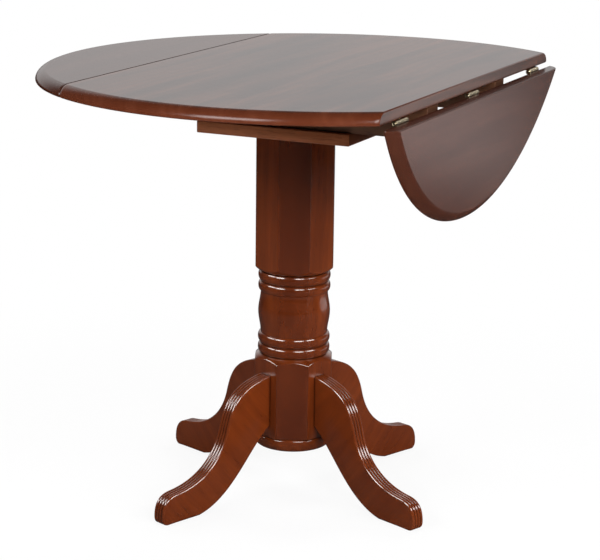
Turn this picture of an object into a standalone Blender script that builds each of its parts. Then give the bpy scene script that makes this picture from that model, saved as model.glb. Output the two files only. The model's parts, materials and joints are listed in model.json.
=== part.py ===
"""Drop-leaf pub table: a round top with two hinged leaves, on a turned column with four scrolled legs.

Metres, +Z up, the floor at z = 0. The origin is the middle of the footprint as the table stands,
with its left leaf raised and its right leaf hanging.
"""
from math import acos, ceil, cos, pi, radians, sin, sqrt

import bmesh
import bpy
from mathutils import Matrix, Vector

for old in list(bpy.data.objects):
    bpy.data.objects.remove(old, do_unlink=True)

# Overall
TABLE_HEIGHT = 0.8382
FIT_GAP = 0.0003

# Round top: a fixed centre board and two leaves
TOP_RADIUS = 0.5334
TOP_THICKNESS = 0.022
HINGE_LINE_X = 0.3048
LEAF_JOINT_GAP = 0.0008
LEAF_DROP_DEGREES = 94.4
RIM_RUN = 0.0189
RIM_LOWER_ROUND = 0.003
RIM_START_DEGREES = 15.0
RIM_END_DEGREES = 75.0

# Hinges under the two joints
HINGE_CORNER_INSET = 0.090
HINGE_LENGTH = 0.050
HINGE_PLATE_WIDTH = 0.032
HINGE_PLATE_THICKNESS = 0.0022
HINGE_CLEARANCE = 0.0004
PIN_DROP = 0.0055
PIN_HEAD = 0.001
HINGE_SCREW_SPACING = 0.030
HINGE_SCREW_X = 0.021
HINGE_SCREW_RADIUS = 0.0016
HINGE_SCREW_HEAD_RADIUS = 0.0032
HINGE_SCREW_HEAD_RISE = 0.0011
HINGE_SCREW_LENGTH = 0.013

# Battens across the underside
BATTEN_Y = 0.175
BATTEN_WIDTH = 0.050
BATTEN_HEIGHT = 0.0605
BATTEN_SETBACK = 0.008
BATTEN_SCREW_END_INSET = 0.060
BATTEN_SCREW_STAGGER = 0.011
BATTEN_SCREW_RADIUS = 0.0025
BATTEN_SCREW_HEAD_RADIUS = 0.0048
BATTEN_SCREW_HEAD_HEIGHT = 0.003
BATTEN_SCREW_RECESS = 0.022
TOP_SCREW_BITE = 0.013

# Board that carries the column
BOARD_WIDTH = 0.305
BOARD_THICKNESS = 0.022
BOARD_OVERHANG = 0.010
BOARD_SCREW_EDGE_INSET = 0.030
BOARD_SCREW_RADIUS = 0.0025
BOARD_SCREW_HEAD_RADIUS = 0.005
BOARD_SCREW_HEAD_HEIGHT = 0.0028
BOARD_SCREW_LENGTH = 0.044
TIMBER_EDGE_BEVEL = 0.0015

# Column: octagonal block, beads, barrel, beads, octagonal shaft, with an octagonal bore
PEDESTAL_X = -0.048
PEDESTAL_TURN_DEGREES = -21.55
COLUMN_FLATS = 0.150
COLUMN_BORE_FLATS = 0.070
BLOCK_FOOT_Z = 0.1155
BLOCK_HEIGHT = 0.157
SHOULDER_CORNER_DROP = 0.0058
SHOULDER_RISE = 0.0042
BEAD_HEIGHT = 0.0192
BEAD_QUIRK = 0.0020
BEAD_INSET = 0.0046
NECK_INSET = 0.0096
BARREL_INSET = 0.0048
BARREL_HEIGHT = 0.0838

# Threaded rod that clamps disc, column and board together
ROD_RADIUS = 0.005
ROD_END = 0.003
ROD_WASHER_RADIUS = 0.0125
ROD_WASHER_THICKNESS = 0.002
ROD_NUT_RADIUS = 0.0094
ROD_NUT_HEIGHT = 0.008
ROD_RECESS_RADIUS = 0.016
ROD_RECESS_DEPTH = 0.0125

# Disc that closes the foot of the column
DISC_THICKNESS = 0.0262
DISC_LIP = 0.004
DISC_FOOT_RADIUS = 0.0665
DISC_EDGE_ROUND = 0.005

# Legs, measured outward from the face of the block
LEG_THICKNESS = 0.028
LEG_ROOT_TOP_INSET = 0.030
LEG_ROOT_FOOT_INSET = 0.0245
LEG_SHOULDER_HANDLE = 0.0746
LEG_SHOULDER_DEGREES = 8.1
LEG_WAIST_REACH = 0.1082
LEG_WAIST_Z = 0.1553
LEG_WAIST_DEGREES = 75.2
LEG_WAIST_UPPER_HANDLE = 0.0521
LEG_WAIST_LOWER_HANDLE = 0.0555
LEG_INSTEP_REACH = 0.2347
LEG_INSTEP_Z = 0.0567
LEG_INSTEP_DEGREES = 5.8
LEG_INSTEP_HANDLE = 0.0714
LEG_TOE_REACH = 0.2707
LEG_TOE_HANDLE = 0.026
LEG_TOE_Z = 0.013
LEG_TOE_ROUND = 0.010
LEG_HEEL_REACH = 0.1797
LEG_HEEL_HANDLE = 0.086
LEG_HEEL_DEGREES = 11.2
LEG_ROOT_FOOT_HANDLE = 0.0673
LEG_ROOT_FOOT_DEGREES = 35.7
REED_COUNT = 4
REED_DROP = 0.0026

# Bolts from the bore that pull each leg against the block
LEG_BOLT_INSET = 0.025
LEG_BOLT_RADIUS = 0.004
LEG_BOLT_BITE = 0.035
LEG_BOLT_HEAD_RADIUS = 0.0075
LEG_BOLT_HEAD_HEIGHT = 0.0053

# Pull-out slides that carry a raised leaf
SLIDE_BATTEN_GAP = 0.024
SLIDE_WIDTH = 0.025
SLIDE_THICKNESS = 0.004
SLIDE_CLEARANCE = 0.0004
SLIDE_TIP_SETBACK = 0.010
SLIDE_INNER_X = 0.035
SLIDE_LIP_HEIGHT = 0.012
GUIDE_LENGTH = 0.030
GUIDE_TIP_SETBACK = 0.076
GUIDE_STRAP = 0.002
GUIDE_EAR = 0.016
GUIDE_SCREW_RADIUS = 0.0018
GUIDE_SCREW_HEAD_RADIUS = 0.0038
GUIDE_SCREW_HEAD_RISE = 0.0014

# Fineness of curved surfaces
ARC_STEP_DEGREES = 3.0
TURNED_SIDES = 36
SCREW_SIDES = 6
BOLT_SIDES = 12
SHARP_DEGREES = 32.0
CUT_MARGIN = 0.005

# Levels and places that follow from the sizes
UNDERSIDE_Z = TABLE_HEIGHT - TOP_THICKNESS
PIN_Z = UNDERSIDE_Z - PIN_DROP
KNUCKLE_RADIUS = PIN_DROP - FIT_GAP
KNUCKLE_BORE = KNUCKLE_RADIUS - HINGE_PLATE_THICKNESS
HINGE_CORNER_Y = sqrt(TOP_RADIUS ** 2 - HINGE_LINE_X ** 2) - HINGE_CORNER_INSET
BATTEN_TOP_Z = UNDERSIDE_Z - FIT_GAP
BATTEN_FOOT_Z = BATTEN_TOP_Z - BATTEN_HEIGHT
BATTEN_END_X = HINGE_LINE_X - BATTEN_SETBACK
BOARD_TOP_Z = BATTEN_FOOT_Z - FIT_GAP
BOARD_FOOT_Z = BOARD_TOP_Z - BOARD_THICKNESS
BOARD_END_Y = BATTEN_Y + BATTEN_WIDTH / 2 + BOARD_OVERHANG
COLUMN_TOP_Z = BOARD_FOOT_Z - FIT_GAP
COLUMN_FACE = COLUMN_FLATS / 2
COLUMN_CORNER = COLUMN_FACE / cos(pi / 8)
BORE_FACE = COLUMN_BORE_FLATS / 2
BLOCK_TOP_Z = BLOCK_FOOT_Z + BLOCK_HEIGHT
DISC_TOP_Z = BLOCK_FOOT_Z - FIT_GAP
DISC_FOOT_Z = DISC_TOP_Z - DISC_THICKNESS
LEG_ROOT_TOP_Z = BLOCK_TOP_Z - LEG_ROOT_TOP_INSET
LEG_ROOT_FOOT_Z = BLOCK_FOOT_Z + LEG_ROOT_FOOT_INSET
LEG_BOLT_LEVELS = {"lower": LEG_ROOT_FOOT_Z + LEG_BOLT_INSET, "upper": LEG_ROOT_TOP_Z - LEG_BOLT_INSET}
SLIDE_TOP_Z = UNDERSIDE_Z - SLIDE_CLEARANCE
SLIDE_FOOT_Z = SLIDE_TOP_Z - SLIDE_THICKNESS
SLOT_FLOOR_Z = SLIDE_FOOT_Z - SLIDE_CLEARANCE
GUIDE_SLOT_HALF = SLIDE_WIDTH / 2 + SLIDE_CLEARANCE
GUIDE_HALF = GUIDE_SLOT_HALF + GUIDE_STRAP + GUIDE_EAR
SLIDE_Y = BATTEN_Y - BATTEN_WIDTH / 2 - SLIDE_BATTEN_GAP - GUIDE_HALF
SLIDE_TIP_X = HINGE_LINE_X - SLIDE_TIP_SETBACK
GUIDE_END_X = HINGE_LINE_X - GUIDE_TIP_SETBACK

# Finishes: base colour, roughness, metallic
TOP_STAIN = ((0.17, 0.075, 0.045, 1.0), 0.28, 0.0)
BASE_STAIN = ((0.16, 0.045, 0.018, 1.0), 0.25, 0.0)
UNDER_STAIN = ((0.20, 0.085, 0.040, 1.0), 0.50, 0.0)
BRASS = ((0.72, 0.50, 0.20, 1.0), 0.30, 1.0)
STEEL = ((0.55, 0.55, 0.56, 1.0), 0.38, 1.0)
ZINC = ((0.62, 0.63, 0.66, 1.0), 0.32, 1.0)


def circle(radius, z, sides):
    """Points of a level circle, counterclockwise from above."""
    steps = [2 * pi * i / sides for i in range(sides)]
    return [Vector((radius * cos(a), radius * sin(a), z)) for a in steps]


def hexagon(radius, z):
    """Hexagon with a point in the middle of each side, to join with a circle of BOLT_SIDES points."""
    reach = [radius if i % 2 == 0 else radius * cos(pi / 6) for i in range(BOLT_SIDES)]
    return [point * reach[i] + Vector((0, 0, z)) for i, point in enumerate(circle(1.0, 0.0, BOLT_SIDES))]


def octagon(face, z):
    """Regular octagon with faces at multiples of 45 degrees."""
    corner = face / cos(pi / 8)
    turns = [pi / 8 + pi / 4 * i for i in range(8)]
    return [Vector((corner * cos(a), corner * sin(a), z)) for a in turns]


def bezier(start, start_handle, end_handle, end, steps):
    """Points along one cubic curve in a plane, start included and end left out."""
    points = []
    for i in range(steps):
        t = i / steps
        s = 1 - t
        ends = s ** 3 * start + t ** 3 * end
        points.append(ends + 3 * s * s * t * start_handle + 3 * s * t * t * end_handle)
    return points


def add_rings(bm, rings, place=Matrix(), hollow=False):
    """Skin rings of equal count: capped at both ends, or joined last to first when hollow."""
    rows = [[bm.verts.new(place @ point) for point in ring] for ring in rings]
    pairs = list(zip(rows, rows[1:]))
    if hollow:
        pairs.append((rows[-1], rows[0]))
    else:
        bm.faces.new(list(reversed(rows[0])))
        bm.faces.new(rows[-1])
    for low, high in pairs:
        for i in range(len(low)):
            j = (i + 1) % len(low)
            bm.faces.new((low[i], low[j], high[j], high[i]))


def add_turned(bm, profile, sides, place=Matrix()):
    """Solid of revolution about Z through (radius, z) pairs, bottom to top."""
    add_rings(bm, [circle(radius, z, sides) for radius, z in profile], place)


def add_box(bm, low, high):
    """Box between two corners."""
    corners = ((low[0], low[1]), (high[0], low[1]), (high[0], high[1]), (low[0], high[1]))
    add_rings(bm, [[Vector((x, y, z)) for x, y in corners] for z in (low[2], high[2])])


def add_screw(bm, place, length, radius, head_radius, head_rise):
    """Raised-head wood screw along Z; the head sinks a little into the metal at Z = 0."""
    sink = head_rise / 2
    profile = [(head_radius / 2, -head_rise), (head_radius, 0.0), (head_radius, sink), (radius, sink),
               (radius / 2, length)]
    add_turned(bm, profile, SCREW_SIDES, place)


def add_hole(bm, place, length, radius, sides=SCREW_SIDES):
    """Drilled hole along Z, a fit larger and deeper than the screw or bolt that goes into it."""
    add_turned(bm, [(radius + FIT_GAP, -CUT_MARGIN), (radius + FIT_GAP, length + FIT_GAP)], sides, place)


def mesh_from(bm, name):
    """Mesh of a closed solid, with its faces pointing out."""
    bmesh.ops.recalc_face_normals(bm, faces=bm.faces)
    mesh = bpy.data.meshes.new(name)
    bm.to_mesh(mesh)
    bm.free()
    return mesh


def turned(profile, sides, name, place=Matrix()):
    """Mesh of a turned solid."""
    bm = bmesh.new()
    add_turned(bm, profile, sides, place)
    return mesh_from(bm, name)


def combine(body, tool, operation):
    """Mesh of one solid cut by, joined to or kept inside another."""
    work = [bpy.data.objects.new(mesh.name, mesh) for mesh in (body, tool)]
    for item in work:
        bpy.context.scene.collection.objects.link(item)
    change = work[0].modifiers.new("combine", "BOOLEAN")
    change.operation = operation
    change.object = work[1]
    bpy.context.view_layer.update()
    graph = bpy.context.evaluated_depsgraph_get()
    result = bpy.data.meshes.new_from_object(work[0].evaluated_get(graph))
    for item in work:
        bpy.data.objects.remove(item)
    return result


def add_empty(name, parent=None, location=(0, 0, 0), rotation=(0, 0, 0)):
    """Reference frame that carries pieces."""
    frame = bpy.data.objects.new(name, None)
    bpy.context.scene.collection.objects.link(frame)
    frame.parent = parent
    frame.location = location
    frame.rotation_euler = rotation
    return frame


def add_part(name, mesh, parent, finish, location=(0, 0, 0), turn=0.0):
    """One named piece with its own mesh and material, on its reference frame."""
    piece = bpy.data.objects.new(name, mesh.copy())
    bpy.context.scene.collection.objects.link(piece)
    piece.parent = parent
    piece.location = location
    piece.rotation_euler = (0, 0, turn)
    piece.data.name = name
    material = bpy.data.materials.new(name + "_finish")
    material.use_nodes = True
    shader = material.node_tree.nodes["Principled BSDF"]
    shader.inputs["Base Color"].default_value = finish[0]
    shader.inputs["Roughness"].default_value = finish[1]
    shader.inputs["Metallic"].default_value = finish[2]
    piece.data.materials.clear()
    piece.data.materials.append(material)
    piece.data.shade_smooth()
    piece.data.set_sharp_from_angle(angle=radians(SHARP_DEGREES))
    return piece


# Boards of the round top
def rim_levels():
    """(inset, height) pairs of the moulded rim from the underside up to the flat."""
    fall = TOP_THICKNESS - RIM_LOWER_ROUND
    first, last = radians(RIM_START_DEGREES), radians(RIM_END_DEGREES)
    levels = []
    for i in range(2):
        a = pi / 2 * i / 2
        levels.append((RIM_LOWER_ROUND * (1 - sin(a)), RIM_LOWER_ROUND * (1 - cos(a))))
    for i in range(4):
        t = last + (first - last) * i / 3
        across = (sin(t) - sin(first)) / (sin(last) - sin(first))
        down = (cos(first) - cos(t)) / (cos(first) - cos(last))
        levels.append((RIM_RUN * (1 - across), TOP_THICKNESS - fall * down))
    return levels


def arc(radius, start, end, steps, z):
    """Points along an arc of the rim, both ends included."""
    turns = [start + (end - start) * i / steps for i in range(steps + 1)]
    return [Vector((radius * cos(a), radius * sin(a), z)) for a in turns]


def even_steps(angle):
    """Even number of arc steps, so that one point lies at the middle of the arc."""
    return 2 * ceil(angle / radians(ARC_STEP_DEGREES) / 2)


def centre_board():
    """Middle of the round top between its two straight joints."""
    edge = HINGE_LINE_X - LEAF_JOINT_GAP / 2
    steps = even_steps(pi - 2 * acos(edge / TOP_RADIUS))
    rings = []
    for inset, height in rim_levels():
        radius = TOP_RADIUS - inset
        corner = acos(edge / radius)
        z = UNDERSIDE_Z + height
        near = arc(radius, corner - pi, -corner, steps, z)
        rings.append(near + arc(radius, corner, pi - corner, steps, z))
    bm = bmesh.new()
    add_rings(bm, rings)
    return mesh_from(bm, "centre_board")


def leaf_board():
    """Outer segment of the round top, measured from the axis of its hinge pins."""
    edge = HINGE_LINE_X + LEAF_JOINT_GAP / 2
    steps = even_steps(2 * acos(edge / TOP_RADIUS))
    rings = []
    for inset, height in rim_levels():
        radius = TOP_RADIUS - inset
        corner = acos(edge / radius)
        rings.append(arc(radius, -corner, corner, steps, UNDERSIDE_Z + height))
    bm = bmesh.new()
    add_rings(bm, rings, Matrix.Translation((-HINGE_LINE_X, 0, -PIN_Z)))
    return mesh_from(bm, "leaf_board")


# Hinges, measured from the middle of the pin with the leaf to +X
ALONG_Y = Matrix.Rotation(-pi / 2, 4, "X")
HINGE_ROWS = {"near": -HINGE_CORNER_Y, "middle": 0.0, "far": HINGE_CORNER_Y}


def knuckle_spans(side):
    """Stretches of the pin that one plate wraps: the middle third for the leaf, the ends for the centre."""
    third = HINGE_LENGTH / 3
    gap = HINGE_CLEARANCE / 2
    if side > 0:
        return [(-third / 2 + gap, third / 2 - gap)]
    return [(-HINGE_LENGTH / 2, -third / 2 - gap), (third / 2 + gap, HINGE_LENGTH / 2)]


def hinge_screw_places(side):
    """Where a plate's screws enter, head down."""
    rows = (-HINGE_SCREW_SPACING / 2, HINGE_SCREW_SPACING / 2)
    return [Matrix.Translation((side * HINGE_SCREW_X, y, KNUCKLE_BORE)) for y in rows]


def add_hinge_holes(bm, side, place):
    """Holes in a board for the screws of one plate."""
    for spot in hinge_screw_places(side):
        add_hole(bm, place @ spot, HINGE_SCREW_LENGTH, HINGE_SCREW_RADIUS)


def strip(inner, outer, low, high):
    """Flat strip of the plate between two reaches from the pin and two places along it."""
    bm = bmesh.new()
    add_box(bm, (min(inner, outer), low, KNUCKLE_BORE), (max(inner, outer), high, KNUCKLE_RADIUS))
    return mesh_from(bm, "strip")


def hinge_plate(side):
    """Plate with rolled knuckles and its screws: side -1 goes to the centre board and +1 to the leaf."""
    inner = side * (KNUCKLE_RADIUS + HINGE_CLEARANCE)
    half = HINGE_LENGTH / 2
    plate = strip(inner, side * HINGE_PLATE_WIDTH, -half, half)
    for low, high in knuckle_spans(side):
        knuckle = turned([(KNUCKLE_RADIUS, low), (KNUCKLE_RADIUS, high)], BOLT_SIDES, "knuckle", ALONG_Y)
        knuckle = combine(knuckle, strip(0, inner + side * HINGE_CLEARANCE, low, high), "UNION")
        plate = combine(plate, knuckle, "UNION")
    ends = (-half - CUT_MARGIN, half + CUT_MARGIN)
    bore = turned([(KNUCKLE_BORE, z) for z in ends], BOLT_SIDES, "bore", ALONG_Y)
    plate = combine(plate, bore, "DIFFERENCE")
    bm = bmesh.new()
    for spot in hinge_screw_places(side):
        add_screw(bm, spot, HINGE_SCREW_LENGTH, HINGE_SCREW_RADIUS, HINGE_SCREW_HEAD_RADIUS,
                  HINGE_SCREW_HEAD_RISE)
    return combine(plate, mesh_from(bm, "screws"), "UNION")


def hinge_pin():
    """Pin with eased ends, along Y."""
    radius = KNUCKLE_BORE - FIT_GAP
    half = HINGE_LENGTH / 2
    profile = [(radius / 2, -half - PIN_HEAD), (radius, -half), (radius, half), (radius / 2, half + PIN_HEAD)]
    return turned(profile, BOLT_SIDES, "pin", ALONG_Y)


def drilled_leaf():
    """Leaf with the holes of its hinge screws."""
    bm = bmesh.new()
    for y in HINGE_ROWS.values():
        add_hinge_holes(bm, 1, Matrix.Translation((0, y, 0)))
    return combine(leaf_board(), mesh_from(bm, "drill"), "DIFFERENCE")


# Battens and the board under them
ROWS = {"near": -1, "far": 1}
ENDS = {"left": -1, "right": 1}


def timber(low, high):
    """Sawn board with eased edges."""
    bm = bmesh.new()
    add_box(bm, low, high)
    bmesh.ops.bevel(bm, geom=bm.edges[:], offset=TIMBER_EDGE_BEVEL, segments=1, affect="EDGES")
    return mesh_from(bm, "timber")


BATTEN_SCREW_SEAT_Z = BATTEN_FOOT_Z + BATTEN_SCREW_RECESS
BATTEN_SCREW_LENGTH = UNDERSIDE_Z - BATTEN_SCREW_SEAT_Z + TOP_SCREW_BITE


def batten_screw_place(row, end):
    """Seat of a screw that holds a batten to the centre board, sunk in from below."""
    x = end * (BATTEN_END_X - BATTEN_SCREW_END_INSET)
    return Matrix.Translation((x, row * (BATTEN_Y + BATTEN_SCREW_STAGGER), BATTEN_SCREW_SEAT_Z))


def board_screw_place(row, end):
    """Face of a screw that holds the board to a batten, from below."""
    x = end * (BOARD_WIDTH / 2 - BOARD_SCREW_EDGE_INSET)
    return Matrix.Translation((x, row * (BATTEN_Y - BATTEN_SCREW_STAGGER), BOARD_FOOT_Z))


def batten_screw():
    """Flat-topped screw that seats at Z = 0."""
    head, radius, length = BATTEN_SCREW_HEAD_RADIUS, BATTEN_SCREW_RADIUS, BATTEN_SCREW_LENGTH
    seat = -FIT_GAP
    profile = [(head, seat - BATTEN_SCREW_HEAD_HEIGHT), (head, seat), (radius, seat),
               (radius, length - 2 * radius), (radius / 4, length)]
    return turned(profile, SCREW_SIDES, "batten_screw")


def board_screw():
    """Countersunk screw with its face at Z = 0."""
    radius, length = BOARD_SCREW_RADIUS, BOARD_SCREW_LENGTH
    profile = [(BOARD_SCREW_HEAD_RADIUS, 0), (radius, BOARD_SCREW_HEAD_HEIGHT), (radius, length - 2 * radius),
               (radius / 4, length)]
    return turned(profile, SCREW_SIDES, "board_screw")


def add_batten_holes(bm, row):
    """Holes and recesses of one batten's screws, through to the centre board."""
    wide = BATTEN_SCREW_HEAD_RADIUS + FIT_GAP
    narrow = BATTEN_SCREW_RADIUS + FIT_GAP
    profile = [(wide, -BATTEN_SCREW_RECESS - CUT_MARGIN), (wide, 0), (narrow, 0),
               (narrow, BATTEN_SCREW_LENGTH + FIT_GAP)]
    for end in ENDS.values():
        add_turned(bm, profile, SCREW_SIDES, batten_screw_place(row, end))


def add_board_holes(bm, row):
    """Countersunk holes of the board's screws in one batten."""
    wide = BOARD_SCREW_HEAD_RADIUS + FIT_GAP
    narrow = BOARD_SCREW_RADIUS + FIT_GAP
    profile = [(wide, -FIT_GAP), (wide, 0), (narrow, BOARD_SCREW_HEAD_HEIGHT),
               (narrow, BOARD_SCREW_LENGTH + FIT_GAP)]
    for end in ENDS.values():
        add_turned(bm, profile, SCREW_SIDES, board_screw_place(row, end))


def batten(row):
    """Bar along X under the centre board."""
    y = row * BATTEN_Y
    low = (-BATTEN_END_X, y - BATTEN_WIDTH / 2, BATTEN_FOOT_Z)
    bar = timber(low, (BATTEN_END_X, y + BATTEN_WIDTH / 2, BATTEN_TOP_Z))
    bm = bmesh.new()
    add_batten_holes(bm, row)
    add_board_holes(bm, row)
    return combine(bar, mesh_from(bm, "drill"), "DIFFERENCE")


def mounting_board():
    """Thick board between the battens and the column, drilled for its screws and the rod."""
    low = (-BOARD_WIDTH / 2, -BOARD_END_Y, BOARD_FOOT_Z)
    board = timber(low, (BOARD_WIDTH / 2, BOARD_END_Y, BOARD_TOP_Z))
    bm = bmesh.new()
    for row in ROWS.values():
        add_board_holes(bm, row)
    rod_place = Matrix.Translation((PEDESTAL_X, 0, BOARD_FOOT_Z))
    add_hole(bm, rod_place, BOARD_THICKNESS + CUT_MARGIN, ROD_RADIUS, BOLT_SIDES)
    return combine(board, mesh_from(bm, "drill"), "DIFFERENCE")


# Column
def bead_pair(foot, crest, root, steps=4):
    """Two half-round beads with a narrow quirk between them, from the foot up."""
    points = []
    for start in (foot, foot + BEAD_HEIGHT + BEAD_QUIRK):
        for i in range(steps + 1):
            a = pi * i / steps
            points.append((root + (crest - root) * sin(a), start + BEAD_HEIGHT / 2 * (1 - cos(a))))
    return points


def turned_profile(steps=7):
    """Outline of the turning, clear of the octagon along the block and the shaft."""
    clear = COLUMN_CORNER + CUT_MARGIN
    slope = SHOULDER_CORNER_DROP / (COLUMN_CORNER - COLUMN_FACE)
    fall = slope * (clear - COLUMN_FACE)
    root = COLUMN_FACE - NECK_INSET
    crest = COLUMN_FACE - BEAD_INSET
    swell = COLUMN_FACE - BARREL_INSET - root
    pair = 2 * BEAD_HEIGHT + BEAD_QUIRK
    lower = BLOCK_TOP_Z + SHOULDER_RISE
    barrel = lower + pair
    upper = barrel + BARREL_HEIGHT
    shaft = upper + pair + SHOULDER_RISE
    profile = [(clear, BLOCK_FOOT_Z - CUT_MARGIN), (clear, BLOCK_TOP_Z - fall), (COLUMN_FACE, BLOCK_TOP_Z)]
    profile += bead_pair(lower, crest, root)
    for i in range(1, steps):
        wave = (1 - cos(2 * pi * i / steps)) / 2
        profile.append((root + swell * wave, barrel + BARREL_HEIGHT * i / steps))
    profile += bead_pair(upper, crest, root)
    profile += [(COLUMN_FACE, shaft), (clear, shaft + fall), (clear, COLUMN_TOP_Z + CUT_MARGIN)]
    return profile


OUTWARD = Matrix.Rotation(pi / 2, 4, "Y")
LEGS = {"near_right": 0.0, "far_right": pi / 2, "far_left": pi, "near_left": 3 * pi / 2}


def leg_bolt_place(turn, z):
    """Frame of a leg bolt at the face of the block, pointing out into the leg."""
    return Matrix.Rotation(turn, 4, "Z") @ Matrix.Translation((COLUMN_FACE, 0, z)) @ OUTWARD


def column():
    """Hollow column with the holes of the leg bolts."""
    bm = bmesh.new()
    add_rings(bm, [octagon(COLUMN_FACE, BLOCK_FOOT_Z), octagon(COLUMN_FACE, COLUMN_TOP_Z)])
    shape = combine(mesh_from(bm, "blank"), turned(turned_profile(), TURNED_SIDES, "turning"), "INTERSECT")
    bm = bmesh.new()
    ends = (BLOCK_FOOT_Z - CUT_MARGIN, COLUMN_TOP_Z + CUT_MARGIN)
    add_rings(bm, [octagon(BORE_FACE, z) for z in ends])
    shape = combine(shape, mesh_from(bm, "bore"), "DIFFERENCE")
    radius = LEG_BOLT_RADIUS + FIT_GAP
    through = [(radius, BORE_FACE - COLUMN_FACE - CUT_MARGIN), (radius, CUT_MARGIN)]
    bm = bmesh.new()
    for turn in LEGS.values():
        for z in LEG_BOLT_LEVELS.values():
            add_turned(bm, through, BOLT_SIDES, leg_bolt_place(turn, z))
    return combine(shape, mesh_from(bm, "drill"), "DIFFERENCE")


def leg_bolt():
    """Hexagon bolt along Z from the bore, with the face of the block at Z = 0."""
    seat = BORE_FACE - COLUMN_FACE - FIT_GAP
    radius = LEG_BOLT_RADIUS
    rings = [hexagon(LEG_BOLT_HEAD_RADIUS, seat - LEG_BOLT_HEAD_HEIGHT), hexagon(LEG_BOLT_HEAD_RADIUS, seat),
             circle(radius, seat, BOLT_SIDES), circle(radius, LEG_BOLT_BITE - radius, BOLT_SIDES),
             circle(radius / 4, LEG_BOLT_BITE, BOLT_SIDES)]
    bm = bmesh.new()
    add_rings(bm, rings)
    return mesh_from(bm, "leg_bolt")


def base_disc():
    """Disc with a rounded top edge, sides that draw in to its foot, and a recess for the rod's nut."""
    radius = COLUMN_FACE + DISC_LIP
    rise = DISC_THICKNESS - DISC_EDGE_ROUND
    profile = []
    for i in range(4):
        a = pi / 2 * i / 4
        reach = DISC_FOOT_RADIUS + (radius - DISC_FOOT_RADIUS) * sin(a)
        profile.append((reach, DISC_FOOT_Z + rise * (1 - cos(a))))
    for i in range(4):
        a = pi / 2 * i / 3
        reach = radius - DISC_EDGE_ROUND * (1 - cos(a))
        profile.append((reach, DISC_FOOT_Z + rise + DISC_EDGE_ROUND * sin(a)))
    disc = turned(profile, TURNED_SIDES, "disc")
    narrow = ROD_RADIUS + FIT_GAP
    recess_top = DISC_FOOT_Z + ROD_RECESS_DEPTH
    hole = [(ROD_RECESS_RADIUS, DISC_FOOT_Z - CUT_MARGIN), (ROD_RECESS_RADIUS, recess_top),
            (narrow, recess_top), (narrow, DISC_TOP_Z + CUT_MARGIN)]
    return combine(disc, turned(hole, BOLT_SIDES, "drill"), "DIFFERENCE")


# Rod through the column, with a washer and a nut at each end
def rod_washer():
    """Flat ring on Z = 0."""
    top = ROD_WASHER_THICKNESS
    inner = ROD_RADIUS + FIT_GAP
    rings = [circle(ROD_WASHER_RADIUS, 0, BOLT_SIDES), circle(ROD_WASHER_RADIUS, top, BOLT_SIDES),
             circle(inner, top, BOLT_SIDES), circle(inner, 0, BOLT_SIDES)]
    bm = bmesh.new()
    add_rings(bm, rings, hollow=True)
    return mesh_from(bm, "rod_washer")


def rod_nut():
    """Hexagon nut on Z = 0."""
    inner = ROD_RADIUS + FIT_GAP
    rings = [hexagon(ROD_NUT_RADIUS, 0), hexagon(ROD_NUT_RADIUS, ROD_NUT_HEIGHT),
             circle(inner, ROD_NUT_HEIGHT, BOLT_SIDES), circle(inner, 0, BOLT_SIDES)]
    bm = bmesh.new()
    add_rings(bm, rings, hollow=True)
    return mesh_from(bm, "rod_nut")


STACK = FIT_GAP + ROD_WASHER_THICKNESS + FIT_GAP
UPPER_WASHER_Z = BOARD_TOP_Z + FIT_GAP
UPPER_NUT_Z = BOARD_TOP_Z + STACK
LOWER_WASHER_Z = DISC_FOOT_Z + ROD_RECESS_DEPTH - FIT_GAP - ROD_WASHER_THICKNESS
LOWER_NUT_Z = DISC_FOOT_Z + ROD_RECESS_DEPTH - STACK - ROD_NUT_HEIGHT


def tie_rod():
    """Threaded rod from under the lower nut to above the upper one."""
    low, high = LOWER_NUT_Z - ROD_END / 2, UPPER_NUT_Z + ROD_NUT_HEIGHT + ROD_END
    tip = ROD_RADIUS - ROD_END / 2
    profile = [(tip, low), (ROD_RADIUS, low + ROD_END / 2), (ROD_RADIUS, high - ROD_END / 2), (tip, high)]
    return turned(profile, BOLT_SIDES, "tie_rod")


# Legs, in a plane with the reach from the block along X and the height along Z
def heading(degrees):
    """Unit direction outward and down at an angle below level."""
    a = radians(degrees)
    return Vector((cos(a), -sin(a)))


def leg_top_path():
    """Crest line of the leg from the block over the knee to the floor at the toe."""
    root = Vector((FIT_GAP, LEG_ROOT_TOP_Z))
    waist = Vector((LEG_WAIST_REACH, LEG_WAIST_Z))
    instep = Vector((LEG_INSTEP_REACH, LEG_INSTEP_Z))
    toe = Vector((LEG_TOE_REACH, LEG_TOE_Z))
    fall = heading(LEG_WAIST_DEGREES)
    level = heading(LEG_INSTEP_DEGREES)
    path = bezier(root, root + LEG_SHOULDER_HANDLE * heading(LEG_SHOULDER_DEGREES),
                  waist - LEG_WAIST_UPPER_HANDLE * fall, waist, 7)
    path += bezier(waist, waist + LEG_WAIST_LOWER_HANDLE * fall,
                   instep - LEG_INSTEP_HANDLE * level, instep, 7)
    path += bezier(instep, instep + LEG_TOE_HANDLE * level, toe + Vector((0, LEG_TOE_HANDLE)), toe, 5)
    for i in range(3):
        a = pi / 2 * i / 2
        path.append(Vector((LEG_TOE_REACH - LEG_TOE_ROUND * (1 - cos(a)), LEG_TOE_Z * (1 - sin(a)))))
    return path


def leg_foot_path():
    """Under edge of the leg from the heel up to the block."""
    heel = Vector((LEG_HEEL_REACH, 0))
    root = Vector((FIT_GAP, LEG_ROOT_FOOT_Z))
    rise = heading(LEG_HEEL_DEGREES)
    climb = heading(LEG_ROOT_FOOT_DEGREES)
    curve = bezier(heel, heel - LEG_HEEL_HANDLE * rise, root + LEG_ROOT_FOOT_HANDLE * climb, root, 9)
    return curve + [root]


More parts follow.
